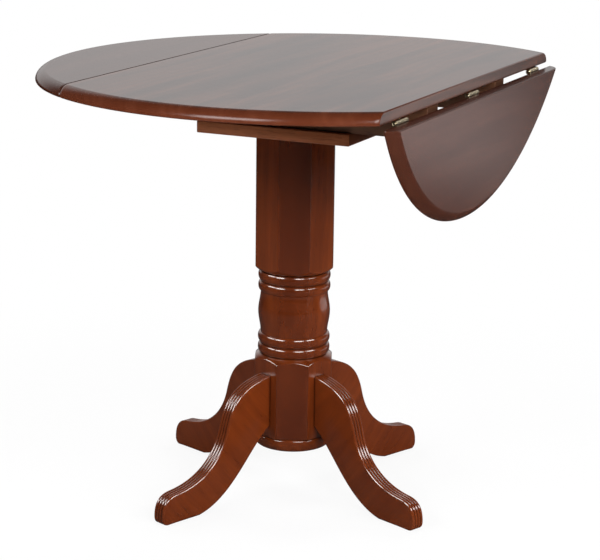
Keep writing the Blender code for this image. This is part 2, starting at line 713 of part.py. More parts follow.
def path_normals(path):
    """Outward directions along the crest: upright at the block and level below the nose of the toe."""
    normals = [Vector((0, 1))]
    for before, here, after in zip(path, path[1:], path[2:]):
        along = (after - before).normalized()
        level = here.y <= LEG_TOE_Z
        normals.append(Vector((1, 0)) if level else Vector((-along.y, along.x)))
    return normals + [Vector((1, 0))]


def reed_section(steps=3):
    """(across, drop) pairs over the rounded reeds of the crest."""
    width = LEG_THICKNESS / REED_COUNT
    radius = (width * width / 4 + REED_DROP * REED_DROP) / (2 * REED_DROP)
    points = []
    for i in range(REED_COUNT * steps + 1):
        offset = width * (i % steps) / steps - width / 2
        drop = radius - sqrt(radius * radius - offset * offset)
        points.append((width * i / steps - LEG_THICKNESS / 2, drop))
    return points


def leg():
    """One leg with flat sides and a reeded crest, drilled for its bolts."""
    path = leg_top_path()
    section = reed_section()
    bm = bmesh.new()
    crest = []
    for point, normal in zip(path, path_normals(path)):
        row = []
        for across, drop in section:
            edge = point - normal * drop
            row.append(bm.verts.new((edge.x, across, edge.y)))
        crest.append(row)
    sides = (-LEG_THICKNESS / 2, LEG_THICKNESS / 2)
    under = [[bm.verts.new((point.x, y, point.y)) for y in sides] for point in leg_foot_path()]
    for row, following in zip(crest, crest[1:]):
        for i in range(len(row) - 1):
            bm.faces.new((row[i], row[i + 1], following[i + 1], following[i]))
    for row, following in zip(under, under[1:]):
        bm.faces.new((row[0], row[1], following[1], following[0]))
    bm.faces.new(crest[-1] + [under[0][1], under[0][0]])
    bm.faces.new(crest[0] + [under[-1][1], under[-1][0]])
    for side in (0, 1):
        bm.faces.new([row[-side] for row in crest] + [row[side] for row in under])
    body = mesh_from(bm, "leg")
    bm = bmesh.new()
    for z in LEG_BOLT_LEVELS.values():
        add_hole(bm, Matrix.Translation((0, 0, z)) @ OUTWARD, LEG_BOLT_BITE, LEG_BOLT_RADIUS, BOLT_SIDES)
    return combine(body, mesh_from(bm, "drill"), "DIFFERENCE")


# Slides and their guides, measured from the table's middle towards one leaf
def extruded(outline, low, high, place=Matrix()):
    """Solid of an (x, z) outline drawn out along Y."""
    bm = bmesh.new()
    add_rings(bm, [[Vector((x, y, z)) for x, z in outline] for y in (low, high)], place)
    return mesh_from(bm, "extruded")


def slide():
    """Flat bar with a turned-down stop at its inner end."""
    stop = SLIDE_INNER_X + SLIDE_THICKNESS
    lip = SLIDE_TOP_Z - SLIDE_LIP_HEIGHT
    outline = [(SLIDE_INNER_X, lip), (stop, lip), (stop, SLIDE_FOOT_Z), (SLIDE_TIP_X, SLIDE_FOOT_Z),
               (SLIDE_TIP_X, SLIDE_TOP_Z), (SLIDE_INNER_X, SLIDE_TOP_Z)]
    return extruded(outline, -SLIDE_WIDTH / 2, SLIDE_WIDTH / 2)


GUIDE_SCREW_FACE_Z = BATTEN_TOP_Z - GUIDE_STRAP
GUIDE_SCREW_LENGTH = UNDERSIDE_Z - GUIDE_SCREW_FACE_Z + TOP_SCREW_BITE


def guide_screw_places():
    """Where the two screws of a guide enter its ears."""
    x = GUIDE_END_X - GUIDE_LENGTH / 2
    y = GUIDE_HALF - GUIDE_EAR / 2
    return [Matrix.Translation((x, across, GUIDE_SCREW_FACE_Z)) for across in (-y, y)]


def guide():
    """Pressed strap with two screwed ears and a channel that the slide runs in."""
    ear, channel = GUIDE_SCREW_FACE_Z, SLOT_FLOOR_Z - GUIDE_STRAP
    wall = GUIDE_SLOT_HALF + GUIDE_STRAP
    half = [(GUIDE_SLOT_HALF, SLOT_FLOOR_Z), (GUIDE_SLOT_HALF, BATTEN_TOP_Z), (GUIDE_HALF, BATTEN_TOP_Z),
            (GUIDE_HALF, ear), (wall, ear), (wall, channel)]
    outline = half + [(-y, z) for y, z in reversed(half)]
    quarter = Matrix.Rotation(-pi / 2, 4, "Z")
    strap = extruded(outline, GUIDE_END_X - GUIDE_LENGTH, GUIDE_END_X, quarter)
    bm = bmesh.new()
    for spot in guide_screw_places():
        add_screw(bm, spot, GUIDE_SCREW_LENGTH, GUIDE_SCREW_RADIUS, GUIDE_SCREW_HEAD_RADIUS,
                  GUIDE_SCREW_HEAD_RISE)
    return combine(strap, mesh_from(bm, "screws"), "UNION")


SIDE_TURNS = {"left": pi, "right": 0.0}
SLIDE_ROWS = {"near": -SLIDE_Y, "far": SLIDE_Y}


def drilled_centre_board():
    """Centre board with the holes of the hinges, battens and guides in its underside."""
    bm = bmesh.new()
    for angle in SIDE_TURNS.values():
        turn = Matrix.Rotation(angle, 4, "Z")
        for y in HINGE_ROWS.values():
            add_hinge_holes(bm, -1, turn @ Matrix.Translation((HINGE_LINE_X, y, PIN_Z)))
        for y in SLIDE_ROWS.values():
            for spot in guide_screw_places():
                place = turn @ Matrix.Translation((0, y, 0)) @ spot
                add_hole(bm, place, GUIDE_SCREW_LENGTH, GUIDE_SCREW_RADIUS)
    for row in ROWS.values():
        add_batten_holes(bm, row)
    return combine(centre_board(), mesh_from(bm, "drill"), "DIFFERENCE")


# Assembly
drop = radians(LEAF_DROP_DEGREES)
leaf_mesh = drilled_leaf()
hanging_reach = HINGE_LINE_X + max(v.co.x * cos(drop) + v.co.z * sin(drop) for v in leaf_mesh.vertices)
table = add_empty("table", location=((TOP_RADIUS - hanging_reach) / 2, 0, 0))
pedestal = add_empty("pedestal", table, (PEDESTAL_X, 0, 0), (0, 0, radians(PEDESTAL_TURN_DEGREES)))

add_part("centre_top", drilled_centre_board(), table, TOP_STAIN)
fixed_plate, leaf_plate, pin = hinge_plate(-1), hinge_plate(1), hinge_pin()
slide_bar, slide_guide = slide(), guide()
for side, turn in SIDE_TURNS.items():
    half = add_empty(f"{side}_half", table, rotation=(0, 0, turn))
    fixed = add_empty(f"{side}_pin_line", half, (HINGE_LINE_X, 0, PIN_Z))
    hang = drop if side == "right" else 0.0
    moving = add_empty(f"{side}_leaf_axis", half, (HINGE_LINE_X, 0, PIN_Z), (0, hang, 0))
    add_part(f"{side}_leaf", leaf_mesh, moving, TOP_STAIN)
    facing = round(cos(turn))
    for row, y in HINGE_ROWS.items():
        along = (0, facing * y, 0)
        add_part(f"{side}_{row}_hinge_pin", pin, fixed, BRASS, along)
        add_part(f"{side}_{row}_hinge_fixed_plate", fixed_plate, fixed, BRASS, along)
        add_part(f"{side}_{row}_hinge_leaf_plate", leaf_plate, moving, BRASS, along)
    for row, y in SLIDE_ROWS.items():
        across = (0, facing * y, 0)
        add_part(f"{side}_{row}_slide", slide_bar, half, STEEL, across)
        add_part(f"{side}_{row}_slide_guide", slide_guide, half, ZINC, across)

for row_name, row in ROWS.items():
    add_part(f"{row_name}_batten", batten(row), table, UNDER_STAIN)
    for end_name, end in ENDS.items():
        spot = batten_screw_place(row, end).translation
        add_part(f"{row_name}_{end_name}_batten_screw", batten_screw(), table, ZINC, spot)
        spot = board_screw_place(row, end).translation
        add_part(f"{row_name}_{end_name}_board_screw", board_screw(), table, ZINC, spot)
add_part("mounting_board", mounting_board(), table, UNDER_STAIN)

add_part("column", column(), pedestal, BASE_STAIN)
add_part("base_disc", base_disc(), pedestal, BASE_STAIN)
add_part("tie_rod", tie_rod(), pedestal, ZINC)
add_part("tie_rod_upper_washer", rod_washer(), pedestal, ZINC, (0, 0, UPPER_WASHER_Z))
add_part("tie_rod_upper_nut", rod_nut(), pedestal, ZINC, (0, 0, UPPER_NUT_Z))
add_part("tie_rod_lower_washer", rod_washer(), pedestal, ZINC, (0, 0, LOWER_WASHER_Z))
add_part("tie_rod_lower_nut", rod_nut(), pedestal, ZINC, (0, 0, LOWER_NUT_Z))

leg_mesh = leg()
bolt_mesh = leg_bolt()
for name, turn in LEGS.items():
    face = (COLUMN_FACE * cos(turn), COLUMN_FACE * sin(turn), 0)
    add_part(f"{name}_leg", leg_mesh, pedestal, BASE_STAIN, face, turn)
    for level, z in LEG_BOLT_LEVELS.items():
        bolt = add_part(f"{name}_leg_{level}_bolt", bolt_mesh, pedestal, ZINC)
        bolt.matrix_local = leg_bolt_place(turn, z)
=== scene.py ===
# %% [markdown]
# # Dressing a drop-leaf pub table
#
# The table is already built as a set of plain solids with real joints. This lesson gives it its looks:
# finer edges and turnings, lacquered wood, brass hinges and zinc hardware, and a studio to see it in.
# Everything is made in the solids' own frame, so a new piece needs no fitting: metres, +Z up, floor at 0.

# %% Load the table as a fixed frame
import json
from math import acos, atan2, ceil, copysign, cos, degrees, pi, radians, sin, sqrt, tan

import bmesh
import bpy
from mathutils import Matrix, Vector

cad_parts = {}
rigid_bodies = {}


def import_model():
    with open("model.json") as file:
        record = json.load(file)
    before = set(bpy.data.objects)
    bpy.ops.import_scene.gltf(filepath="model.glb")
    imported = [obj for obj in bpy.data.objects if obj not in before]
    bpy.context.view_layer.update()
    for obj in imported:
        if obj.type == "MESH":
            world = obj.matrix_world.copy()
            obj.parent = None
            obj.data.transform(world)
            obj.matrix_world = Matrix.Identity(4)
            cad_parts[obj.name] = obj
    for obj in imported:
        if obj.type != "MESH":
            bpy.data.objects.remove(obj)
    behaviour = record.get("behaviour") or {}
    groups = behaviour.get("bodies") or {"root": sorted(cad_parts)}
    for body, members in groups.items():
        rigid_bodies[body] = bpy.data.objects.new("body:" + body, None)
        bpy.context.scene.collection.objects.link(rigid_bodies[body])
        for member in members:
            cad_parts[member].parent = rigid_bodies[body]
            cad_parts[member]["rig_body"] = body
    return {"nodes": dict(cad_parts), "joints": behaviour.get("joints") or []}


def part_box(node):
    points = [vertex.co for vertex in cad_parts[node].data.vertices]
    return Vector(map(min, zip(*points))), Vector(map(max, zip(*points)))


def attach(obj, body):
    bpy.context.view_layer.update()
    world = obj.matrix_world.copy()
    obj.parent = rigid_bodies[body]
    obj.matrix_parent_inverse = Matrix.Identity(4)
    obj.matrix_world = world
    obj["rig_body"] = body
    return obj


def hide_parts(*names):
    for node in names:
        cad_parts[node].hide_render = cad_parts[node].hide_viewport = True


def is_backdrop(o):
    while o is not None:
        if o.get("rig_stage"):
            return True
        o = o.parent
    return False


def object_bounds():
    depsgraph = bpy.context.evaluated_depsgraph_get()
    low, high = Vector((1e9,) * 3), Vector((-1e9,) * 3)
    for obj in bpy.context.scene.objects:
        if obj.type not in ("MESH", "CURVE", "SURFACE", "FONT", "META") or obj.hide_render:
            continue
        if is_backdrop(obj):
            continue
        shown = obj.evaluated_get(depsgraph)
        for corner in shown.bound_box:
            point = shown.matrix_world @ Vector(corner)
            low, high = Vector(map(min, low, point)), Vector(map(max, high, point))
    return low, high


for leftover in list(bpy.data.objects):
    bpy.data.objects.remove(leftover, do_unlink=True)
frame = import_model()
cad_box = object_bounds()
joints = {joint["name"]: joint for joint in frame["joints"]}

# %% [markdown]
# ## The camera
#
# A long lens stands about four metres away, a little to the right and slightly above the top. Its place
# and turn could be keyed in by eye, but they were found by fitting the ellipse of the round top, the two
# joint lines and the feet. Three angles and one place describe it; the lens gives the size in the frame.

# %% Camera
TOP_LOW, TOP_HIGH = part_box("centre_top")
TABLE_X = (TOP_LOW.x + TOP_HIGH.x) / 2
CAMERA_FROM_TOP = Vector((1.5226, -3.3826, 0.5256))
CAMERA_AZIMUTH = radians(24.74)
CAMERA_PITCH = radians(14.22)
CAMERA_ROLL = radians(0.75)
CAMERA_LENS_MM = 118.46
CAMERA_SENSOR_MM = 36.0


def add_object(name, data):
    """New object in the scene."""
    item = bpy.data.objects.new(name, data)
    bpy.context.scene.collection.objects.link(item)
    return item


azimuth_turn = Matrix.Rotation(CAMERA_AZIMUTH, 4, "Z")
lean = Matrix.Rotation(pi / 2 - CAMERA_PITCH, 4, "X")
roll = Matrix.Rotation(CAMERA_ROLL, 4, "Z")
camera = add_object("camera", bpy.data.cameras.new("camera"))
camera_place = CAMERA_FROM_TOP + Vector((TABLE_X, 0, TOP_HIGH.z))
camera.matrix_world = Matrix.Translation(camera_place) @ azimuth_turn @ lean @ roll
camera.data.lens = CAMERA_LENS_MM
camera.data.sensor_fit = "HORIZONTAL"
camera.data.sensor_width = CAMERA_SENSOR_MM
bpy.context.scene.camera = camera
bpy.context.scene.view_settings.view_transform = "Standard"
print("camera at", [round(c, 3) for c in camera_place])

# %% [markdown]
# ## Small helpers for shader nodes
#
# A material in Blender is a graph. Written out socket by socket it soon gets hard to read, so short helpers
# feed a node, add one, and give its sum, colour mix, range or noise. A feed is either a plain value or the
# socket of another node.

# %% Feeding nodes
def feed(tree, item, feeds):
    """Sets or links the inputs of a node, by name or number."""
    for key, value in feeds.items():
        if isinstance(value, bpy.types.NodeSocket):
            tree.links.new(value, item.inputs[key])
        else:
            item.inputs[key].default_value = value


def put(tree, kind, feeds=None, **settings):
    """Adds a node, sets its properties and feeds its inputs."""
    item = tree.nodes.new("ShaderNode" + kind)
    for name, value in settings.items():
        setattr(item, name, value)
    feed(tree, item, feeds or {})
    return item


def maths(tree, operation, a, b=0.0, clamp=False):
    """Result of one sum of two numbers or sockets."""
    return put(tree, "Math", {0: a, 1: b}, operation=operation, use_clamp=clamp).outputs[0]


def product(tree, result, *factors):
    """Numbers or sockets multiplied, one after the other."""
    for factor in factors:
        result = maths(tree, "MULTIPLY", result, factor)
    return result


def weighed(tree, a, share_a, b, share_b):
    """Sum of two values, each with its own share."""
    return maths(tree, "ADD", product(tree, a, share_a), product(tree, b, share_b))


def dot(tree, a, b):
    """How far two directions agree: 1 when they are the same."""
    return put(tree, "VectorMath", {0: a, 1: b}, operation="DOT_PRODUCT").outputs["Value"]


print("nodes can be added, fed and summed")

# %% Colours, ranges and noise
def blend_colours(tree, factor, a, b, how="MIX"):
    """Colour between a and b."""
    feeds = {0: factor, 6: a, 7: b}
    return put(tree, "Mix", feeds, data_type="RGBA", blend_type=how).outputs[2]


def spread(tree, value, low, high, to_low=0.0, to_high=1.0):
    """Smooth step of a value from one range to another."""
    feeds = {0: value, 1: low, 2: high, 3: to_low, 4: to_high}
    return put(tree, "MapRange", feeds, interpolation_type="SMOOTHSTEP").outputs[0]


def noise(tree, vector, per_metre, detail, roughness=0.55, distortion=0.0):
    """Cloudy noise, drawn out by a count of clouds a metre of its own along each axis."""
    scaled = put(tree, "VectorMath", {0: vector, 1: per_metre}, operation="MULTIPLY").outputs[0]
    feeds = {"Vector": scaled, "Scale": 1.0, "Detail": detail, "Roughness": roughness,
             "Distortion": distortion}
    return put(tree, "TexNoise", feeds).outputs[0]


print("colours, ranges and noise ready")

# %% [markdown]
# ## Studio
#
# The table stands on a plain pale floor in front of a white backdrop. Close to the table the floor takes its
# shadow; farther out it is plain white to the eye, so that there is no grey horizon. Lacquer also mirrors
# the room: the backdrop and the floor to the back right, which the dropped leaf faces, show white in it, and
# the rest of a studio is dim. That is why the top looks pale and the pedestal deep in colour. The world
# lights softly. Four bright strips give each turned bead its short highlights, and two dim ones are for the
# rim of the top. The panels light the wood and stay out of its reflections, because from behind they would
# turn the top white.

# %% Floor finish
FLOOR_COLOUR = (0.62, 0.62, 0.62, 1.0)
MIRRORED_FLOOR_COLOUR = (0.035, 0.035, 0.035, 1.0)
WHITE = (1.0, 1.0, 1.0, 1.0)
FLOOR_GLOW = 0.88
FLOOR_SHADOW_REACH = (0.55, 1.5)
RIGHT_FROM = (1.0, 1.25)
BACK_FROM = (0.4, 0.65)
ASKEW_FROM = (0.05, 0.30)
PALER_FROM = (2.1, 3.3)
PALE_SHARES = (0.06, 0.85)


def emptied_tree(owner):
    """Node tree of a material or a world, without the nodes that it starts with."""
    owner.use_nodes = True
    owner.node_tree.nodes.clear()
    return owner.node_tree


def seen_directly(tree, behind):
    """1 for rays that show the background to the eye or through glass; in reflections, what lies behind."""
    path = put(tree, "LightPath").outputs
    mirrored = product(tree, path["Is Glossy Ray"], behind)
    shown = maths(tree, "MAXIMUM", path["Is Camera Ray"], mirrored)
    return maths(tree, "MAXIMUM", shown, path["Is Transmission Ray"])


def floor_finish():
    """Pale floor that takes shadows near the table and is plain white farther out."""
    material = bpy.data.materials.new("pale_floor")
    tree = emptied_tree(material)
    place = put(tree, "TexCoord").outputs["Object"]
    reach = put(tree, "VectorMath", {0: place}, operation="LENGTH").outputs["Value"]
    away = spread(tree, reach, *FLOOR_SHADOW_REACH, FLOOR_GLOW, 1.0)
    white = put(tree, "Emission", {"Color": WHITE, "Strength": 1.0}).outputs[0]
    mirrored = put(tree, "LightPath").outputs["Is Glossy Ray"]
    ground = blend_colours(tree, mirrored, FLOOR_COLOUR, MIRRORED_FLOOR_COLOUR)
    paper = put(tree, "BsdfDiffuse", {"Color": ground}).outputs[0]
    across = put(tree, "SeparateXYZ", {0: place}).outputs
    askew = maths(tree, "SUBTRACT", across["X"], across["Y"])
    back_right = spread(tree, reach, *PALER_FROM, *PALE_SHARES)
    for value, limits in ((across["X"], RIGHT_FROM), (across["Y"], BACK_FROM), (askew, ASKEW_FROM)):
        back_right = product(tree, back_right, spread(tree, value, *limits))
    share = product(tree, away, seen_directly(tree, back_right))
    surface = put(tree, "MixShader", {0: share, 1: paper, 2: white}).outputs[0]
    put(tree, "OutputMaterial", {"Surface": surface})
    return material


pale_floor = floor_finish()
print("floor finish with", len(pale_floor.node_tree.nodes), "nodes")

# %% Floor
FLOOR_RADIUS = 40.0
FLOOR_SIDES = 96

floor_mesh = bpy.data.meshes.new("studio_floor")
work = bmesh.new()
bmesh.ops.create_circle(work, cap_ends=True, segments=FLOOR_SIDES, radius=FLOOR_RADIUS)
work.to_mesh(floor_mesh)
work.free()
floor_mesh.materials.append(pale_floor)
floor = add_object("studio_floor", floor_mesh)
floor.rotation_euler.z = CAMERA_AZIMUTH
floor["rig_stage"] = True
print("floor", 2 * FLOOR_RADIUS, "m across")

# %% World
WORLD_LIGHT = 0.09
MIRRORED_LIGHT = 0.03
BACKDROP_WIDTH = (0.62, 0.98)
BACKWARD = Vector((-sin(CAMERA_AZIMUTH), cos(CAMERA_AZIMUTH), 0))

world = bpy.data.worlds.new("white_studio")
bpy.context.scene.world = world
sky = emptied_tree(world)
mirrored = put(sky, "LightPath").outputs["Is Glossy Ray"]
dimmer = product(sky, mirrored, WORLD_LIGHT - MIRRORED_LIGHT)
strength = maths(sky, "SUBTRACT", WORLD_LIGHT, dimmer)
light = put(sky, "Background", {"Color": WHITE, "Strength": strength}).outputs[0]
white = put(sky, "Background", {"Color": WHITE, "Strength": 1.0}).outputs[0]
depth = dot(sky, put(sky, "TexCoord").outputs["Generated"], BACKWARD)
behind = spread(sky, depth, *BACKDROP_WIDTH)
mixed = put(sky, "MixShader", {0: seen_directly(sky, behind), 1: light, 2: white}).outputs[0]
put(sky, "OutputWorld", {"Surface": mixed})
print("world light", WORLD_LIGHT)

# %% Softboxes
SOFTBOX_DISTANCE = 3.2
SOFTBOX_WIDTH = 1.4
SOFTBOXES = {
    # name: degrees round from the camera, degrees up, length, watts, whether lacquer mirrors it
    "far_left_strip": (-86, 31, 0.8, 34, True),
    "left_strip": (-50, 31, 0.8, 44, True),
    "right_strip": (18, 31, 0.8, 44, True),
    "far_right_strip": (60, 31, 0.8, 38, True),
    "rim_left_strip": (-34, 31, 1.1, 18, True),
    "rim_right_strip": (36, 31, 1.1, 18, True),
    "rim_left_panel": (-34, 10, 0.8, 56, False),
    "rim_right_panel": (36, 10, 0.8, 46, False),
    "left_panel": (-50, 31, 1.1, 12, False),
    "right_panel": (24, 22, 1.1, 40, False),
    "low_right_panel": (52, 3, 1.0, 78, False),
    "back_left_panel": (-150, 35, 1.1, 45, False),
    "back_right_panel": (150, 35, 1.1, 45, False),
}


def softbox(name, azimuth, height, length, watts, mirrored):
    """Rectangular lamp that looks at the middle of the table."""
    aim = Vector((TABLE_X, 0, TOP_HIGH.z / 2))
    turn = CAMERA_AZIMUTH + radians(azimuth)
    rise = radians(height)
    back = Vector((sin(turn) * cos(rise), -cos(turn) * cos(rise), sin(rise)))
    lamp = bpy.data.lights.new(name, "AREA")
    lamp.shape = "RECTANGLE"
    lamp.size = SOFTBOX_WIDTH
    lamp.size_y = length
    lamp.energy = watts
    box = add_object(name, lamp)
    box.rotation_euler = back.to_track_quat("Z", "Y").to_euler()
    box.location = aim + SOFTBOX_DISTANCE * back
    box.visible_glossy = mirrored
    return box


softboxes = {name: softbox(name, *numbers) for name, numbers in SOFTBOXES.items()}
print(len(softboxes), "softboxes")

# %% [markdown]
# ## Wood grain, built once
#
# Every wooden piece is cut from a plank, so one solid grain serves them all: it fills space, and a saw
# cut at any angle shows the right pattern. An image would stretch over the curved legs and rims. Long
# streaks, wavy growth rings, fine fibres and short dark pores are layers of noise that is drawn out
# along the plank. The group reads a vector whose X runs along the plank, in metres.

# %% Groups with named sockets
def new_group(name, inputs, outputs, fill):
    """Shader group with named sockets; fill adds its nodes and says what goes out."""
    group = bpy.data.node_groups.new(name, "ShaderNodeTree")
    for label, kind, value in inputs:
        socket = group.interface.new_socket(label, in_out="INPUT", socket_type="NodeSocket" + kind)
        if value is not None:
            socket.default_value = value
    for label, kind in outputs:
        group.interface.new_socket(label, in_out="OUTPUT", socket_type="NodeSocket" + kind)
    given = group.nodes.new("NodeGroupInput").outputs
    feed(group, group.nodes.new("NodeGroupOutput"), fill(group, given))
    print(name, "group with", len(group.nodes), "nodes")
    return group


print("groups can be made")

# %% Wood grain group
BROWN = (0.16, 0.05, 0.02, 1.0)
PORE_BROWN = (0.012, 0.005, 0.003, 1)
STREAKS = (1.6, 17, 17)
STREAK_RANGE = (0.32, 0.70)
RING_WARP = (1.3, 5, 5)
RING_LEAN = 0.7
RING_RATE = 330.0
RING_WANDER = 34.0
RING_SHARE = 0.45
FIBRES = (22, 760, 760)
FIBRE_RANGE = (0.40, 0.75)
FIBRE_SHARE = 0.30
FIBRE_HEIGHT = 0.35
DASHES = (34, 520, 520)
DASH_RANGE = (0.60, 0.70)
PORE_SHARE = 0.75


def grain_layers(tree, given):
    """Streaks, growth rings, fibres and pores, one over the other."""
    vector, dark, figure = given["Vector"], given["Dark"], given["Figure"]
    streaks = noise(tree, vector, STREAKS, detail=4, roughness=0.6, distortion=0.5)
    warp = noise(tree, vector, RING_WARP, detail=2)
    parts = put(tree, "SeparateXYZ", {0: vector}).outputs
    depth = maths(tree, "ADD", parts["Y"], product(tree, parts["Z"], RING_LEAN))
    wave = maths(tree, "SINE", weighed(tree, depth, RING_RATE, warp, RING_WANDER))
    rings = put(tree, "Math", {0: wave, 1: 0.5, 2: 0.5}, operation="MULTIPLY_ADD").outputs[0]
    fibres = noise(tree, vector, FIBRES, detail=2)
    dashes = noise(tree, vector, DASHES, detail=1)
    pores = product(tree, spread(tree, dashes, *DASH_RANGE), given["Pores"])
    tone = blend_colours(tree, spread(tree, streaks, *STREAK_RANGE), dark, given["Light"])
    tone = blend_colours(tree, figure, given["Middle"], tone)
    tone = blend_colours(tree, product(tree, rings, figure, RING_SHARE), tone, dark)
    fibre_share = product(tree, spread(tree, fibres, *FIBRE_RANGE), FIBRE_SHARE)
    tone = blend_colours(tree, fibre_share, tone, dark)
    tone = blend_colours(tree, product(tree, pores, PORE_SHARE), tone, PORE_BROWN)
    relief = maths(tree, "SUBTRACT", product(tree, fibres, FIBRE_HEIGHT), pores)
    return {"Color": tone, "Height": relief}


grain_group = new_group(
    "wood_grain",
    [("Vector", "Vector", None), ("Dark", "Color", BROWN), ("Middle", "Color", BROWN),
     ("Light", "Color", BROWN), ("Figure", "Float", 0.5), ("Pores", "Float", 0.5)],
    [("Color", "Color"), ("Height", "Float")], grain_layers)

# %% [markdown]
# ## Handling and worn edges, built once
#
# A lacquered table is never evenly glossy: hands and cloths leave soft patches, arrises lose a little
# stain and grooves get less lacquer. All could be painted. Here noise gives the patches, and the arrises are
# found by asking how far a rounded edge would turn the surface: nothing on a flat, much at a corner. This
# works on long flat faces too, where Blender's pointiness has no points to go by. What sees little open air
# is a groove, and the finishes darken it there as painted shade. The rounded direction itself goes out as
# well, so that each arris catches a thin line of light.

# %% Wear group
EDGE_REACH = 0.0016
EDGE_TURN = (0.98, 0.80)
EDGE_BARE = 0.6
GROOVE_REACH = 0.004
GROOVE_AIR = (0.85, 0.45)
GROOVE_COVER = 0.2
OPEN_AIR = (0.80, 0.95)
HANDS = (7, 7, 7)
HANDS_SHARE = 0.7
WIPES = (60, 9, 60)
WIPES_SHARE = 0.3
CHIPS = (90, 90, 90)
CHIP_RANGE = (0.35, 0.7)


def wear_layers(tree, given):
    """Uneven gloss, rubbed arrises, and a groove mask: grooves are short of lacquer and get painted shade."""
    vector = given["Vector"]
    hands = noise(tree, vector, HANDS, detail=4, roughness=0.6)
    wipes = noise(tree, vector, WIPES, detail=2)
    patches = weighed(tree, hands, HANDS_SHARE, wipes, WIPES_SHARE)
    uneven = product(tree, maths(tree, "SUBTRACT", patches, 0.5), given["Patchiness"], 2.0)
    dull = maths(tree, "ADD", given["Roughness"], uneven, clamp=True)
    rounded = put(tree, "Bevel", {"Radius": EDGE_REACH}, samples=4).outputs[0]
    agree = dot(tree, rounded, put(tree, "NewGeometry").outputs["Normal"])
    chips = noise(tree, vector, CHIPS, detail=3)
    open_air = put(tree, "AmbientOcclusion", {"Distance": GROOVE_REACH}, samples=6).outputs["AO"]
    groove = spread(tree, open_air, *GROOVE_AIR)
    edge = product(tree, spread(tree, agree, *EDGE_TURN), spread(tree, chips, *CHIP_RANGE),
                   spread(tree, open_air, *OPEN_AIR), given["Edge"])
    cover = maths(tree, "SUBTRACT", 1.0, product(tree, edge, EDGE_BARE))
    cover = product(tree, cover, spread(tree, groove, 0.0, 1.0, 1.0, GROOVE_COVER))
    return {"Roughness": dull, "Edge": edge, "Groove": groove, "Cover": cover, "Normal": rounded}


wear_group = new_group(
    "wear",
    [("Vector", "Vector", None), ("Roughness", "Float", 0.3), ("Patchiness", "Float", 0.1),
     ("Edge", "Float", 0.5)],
    [("Roughness", "Float"), ("Edge", "Float"), ("Groove", "Float"), ("Cover", "Float"),
     ("Normal", "Vector")], wear_layers)

# %% [markdown]
# ## Wood finishes
#
# The top and the pedestal carry the same chestnut stain under clear lacquer; the battens and the board
# below got only a thin coat. Each finish places the two groups with its own colours and adds the shader:
# stained wood below, a thin coat of lacquer above. End grain drinks more stain and comes out darker. Some
# tones are painted light and shade: grooves that see little open air and the column's diagonal flats are
# darkened, the centre board's rim is lighter and the leaves' rims darker, and the board below is lighter to
# stand in for light on its front. A random number from the object's name shifts the grain, so that no two
# legs come out of the same plank.

# %% Groups placed in a material
PLANK_SHIFT = (3.7, 1.9, 5.3)


def placed_vector(tree, turn):
    """Object coordinates turned so that X runs along the plank, and shifted for each piece."""
    own = put(tree, "TexCoord").outputs["Object"]
    turned = put(tree, "Mapping", {"Vector": own, "Rotation": turn}).outputs[0]
    chance = put(tree, "ObjectInfo").outputs["Random"]
    shift = put(tree, "VectorMath", {0: PLANK_SHIFT, "Scale": chance}, operation="SCALE").outputs[0]
    return put(tree, "VectorMath", {0: turned, 1: shift}, operation="ADD").outputs[0]


def new_material(name):
    """Material with its shader, ready to be fed."""
    material = bpy.data.materials.new(name)
    material.use_nodes = True
    return material, material.node_tree, material.node_tree.nodes["Principled BSDF"]


def worn_skin(tree, vector, roughness, patchiness, edge):
    """Outputs of the wear group, placed with its values."""
    feeds = {"Vector": vector, "Roughness": roughness, "Patchiness": patchiness, "Edge": edge}
    return put(tree, "Group", feeds, node_tree=wear_group).outputs


def bumped(tree, height, strength, distance, normal):
    """Direction of a surface with fine relief on it."""
    feeds = {"Height": height, "Strength": strength, "Distance": distance, "Normal": normal}
    return put(tree, "Bump", feeds).outputs[0]


print("groups can be placed")

# %% Wood finish
# Painted shade: grooves and creases that see little open air are darkened towards this brown, by this share.
PAINTED_GROOVE_SHADE = (0.010, 0.003, 0.0015, 1.0)
GROOVE_SHADE_SHARE = 0.85
PAINTED_RIM_SHARE = 0.75
END_GRAIN_SHARE = 0.85
SQUARE_ON = (0.90, 0.99)
TURNED_OFF = (0.99, 0.90)
GRAIN_DEPTH = 0.0004
LACQUER_IOR = 2.0


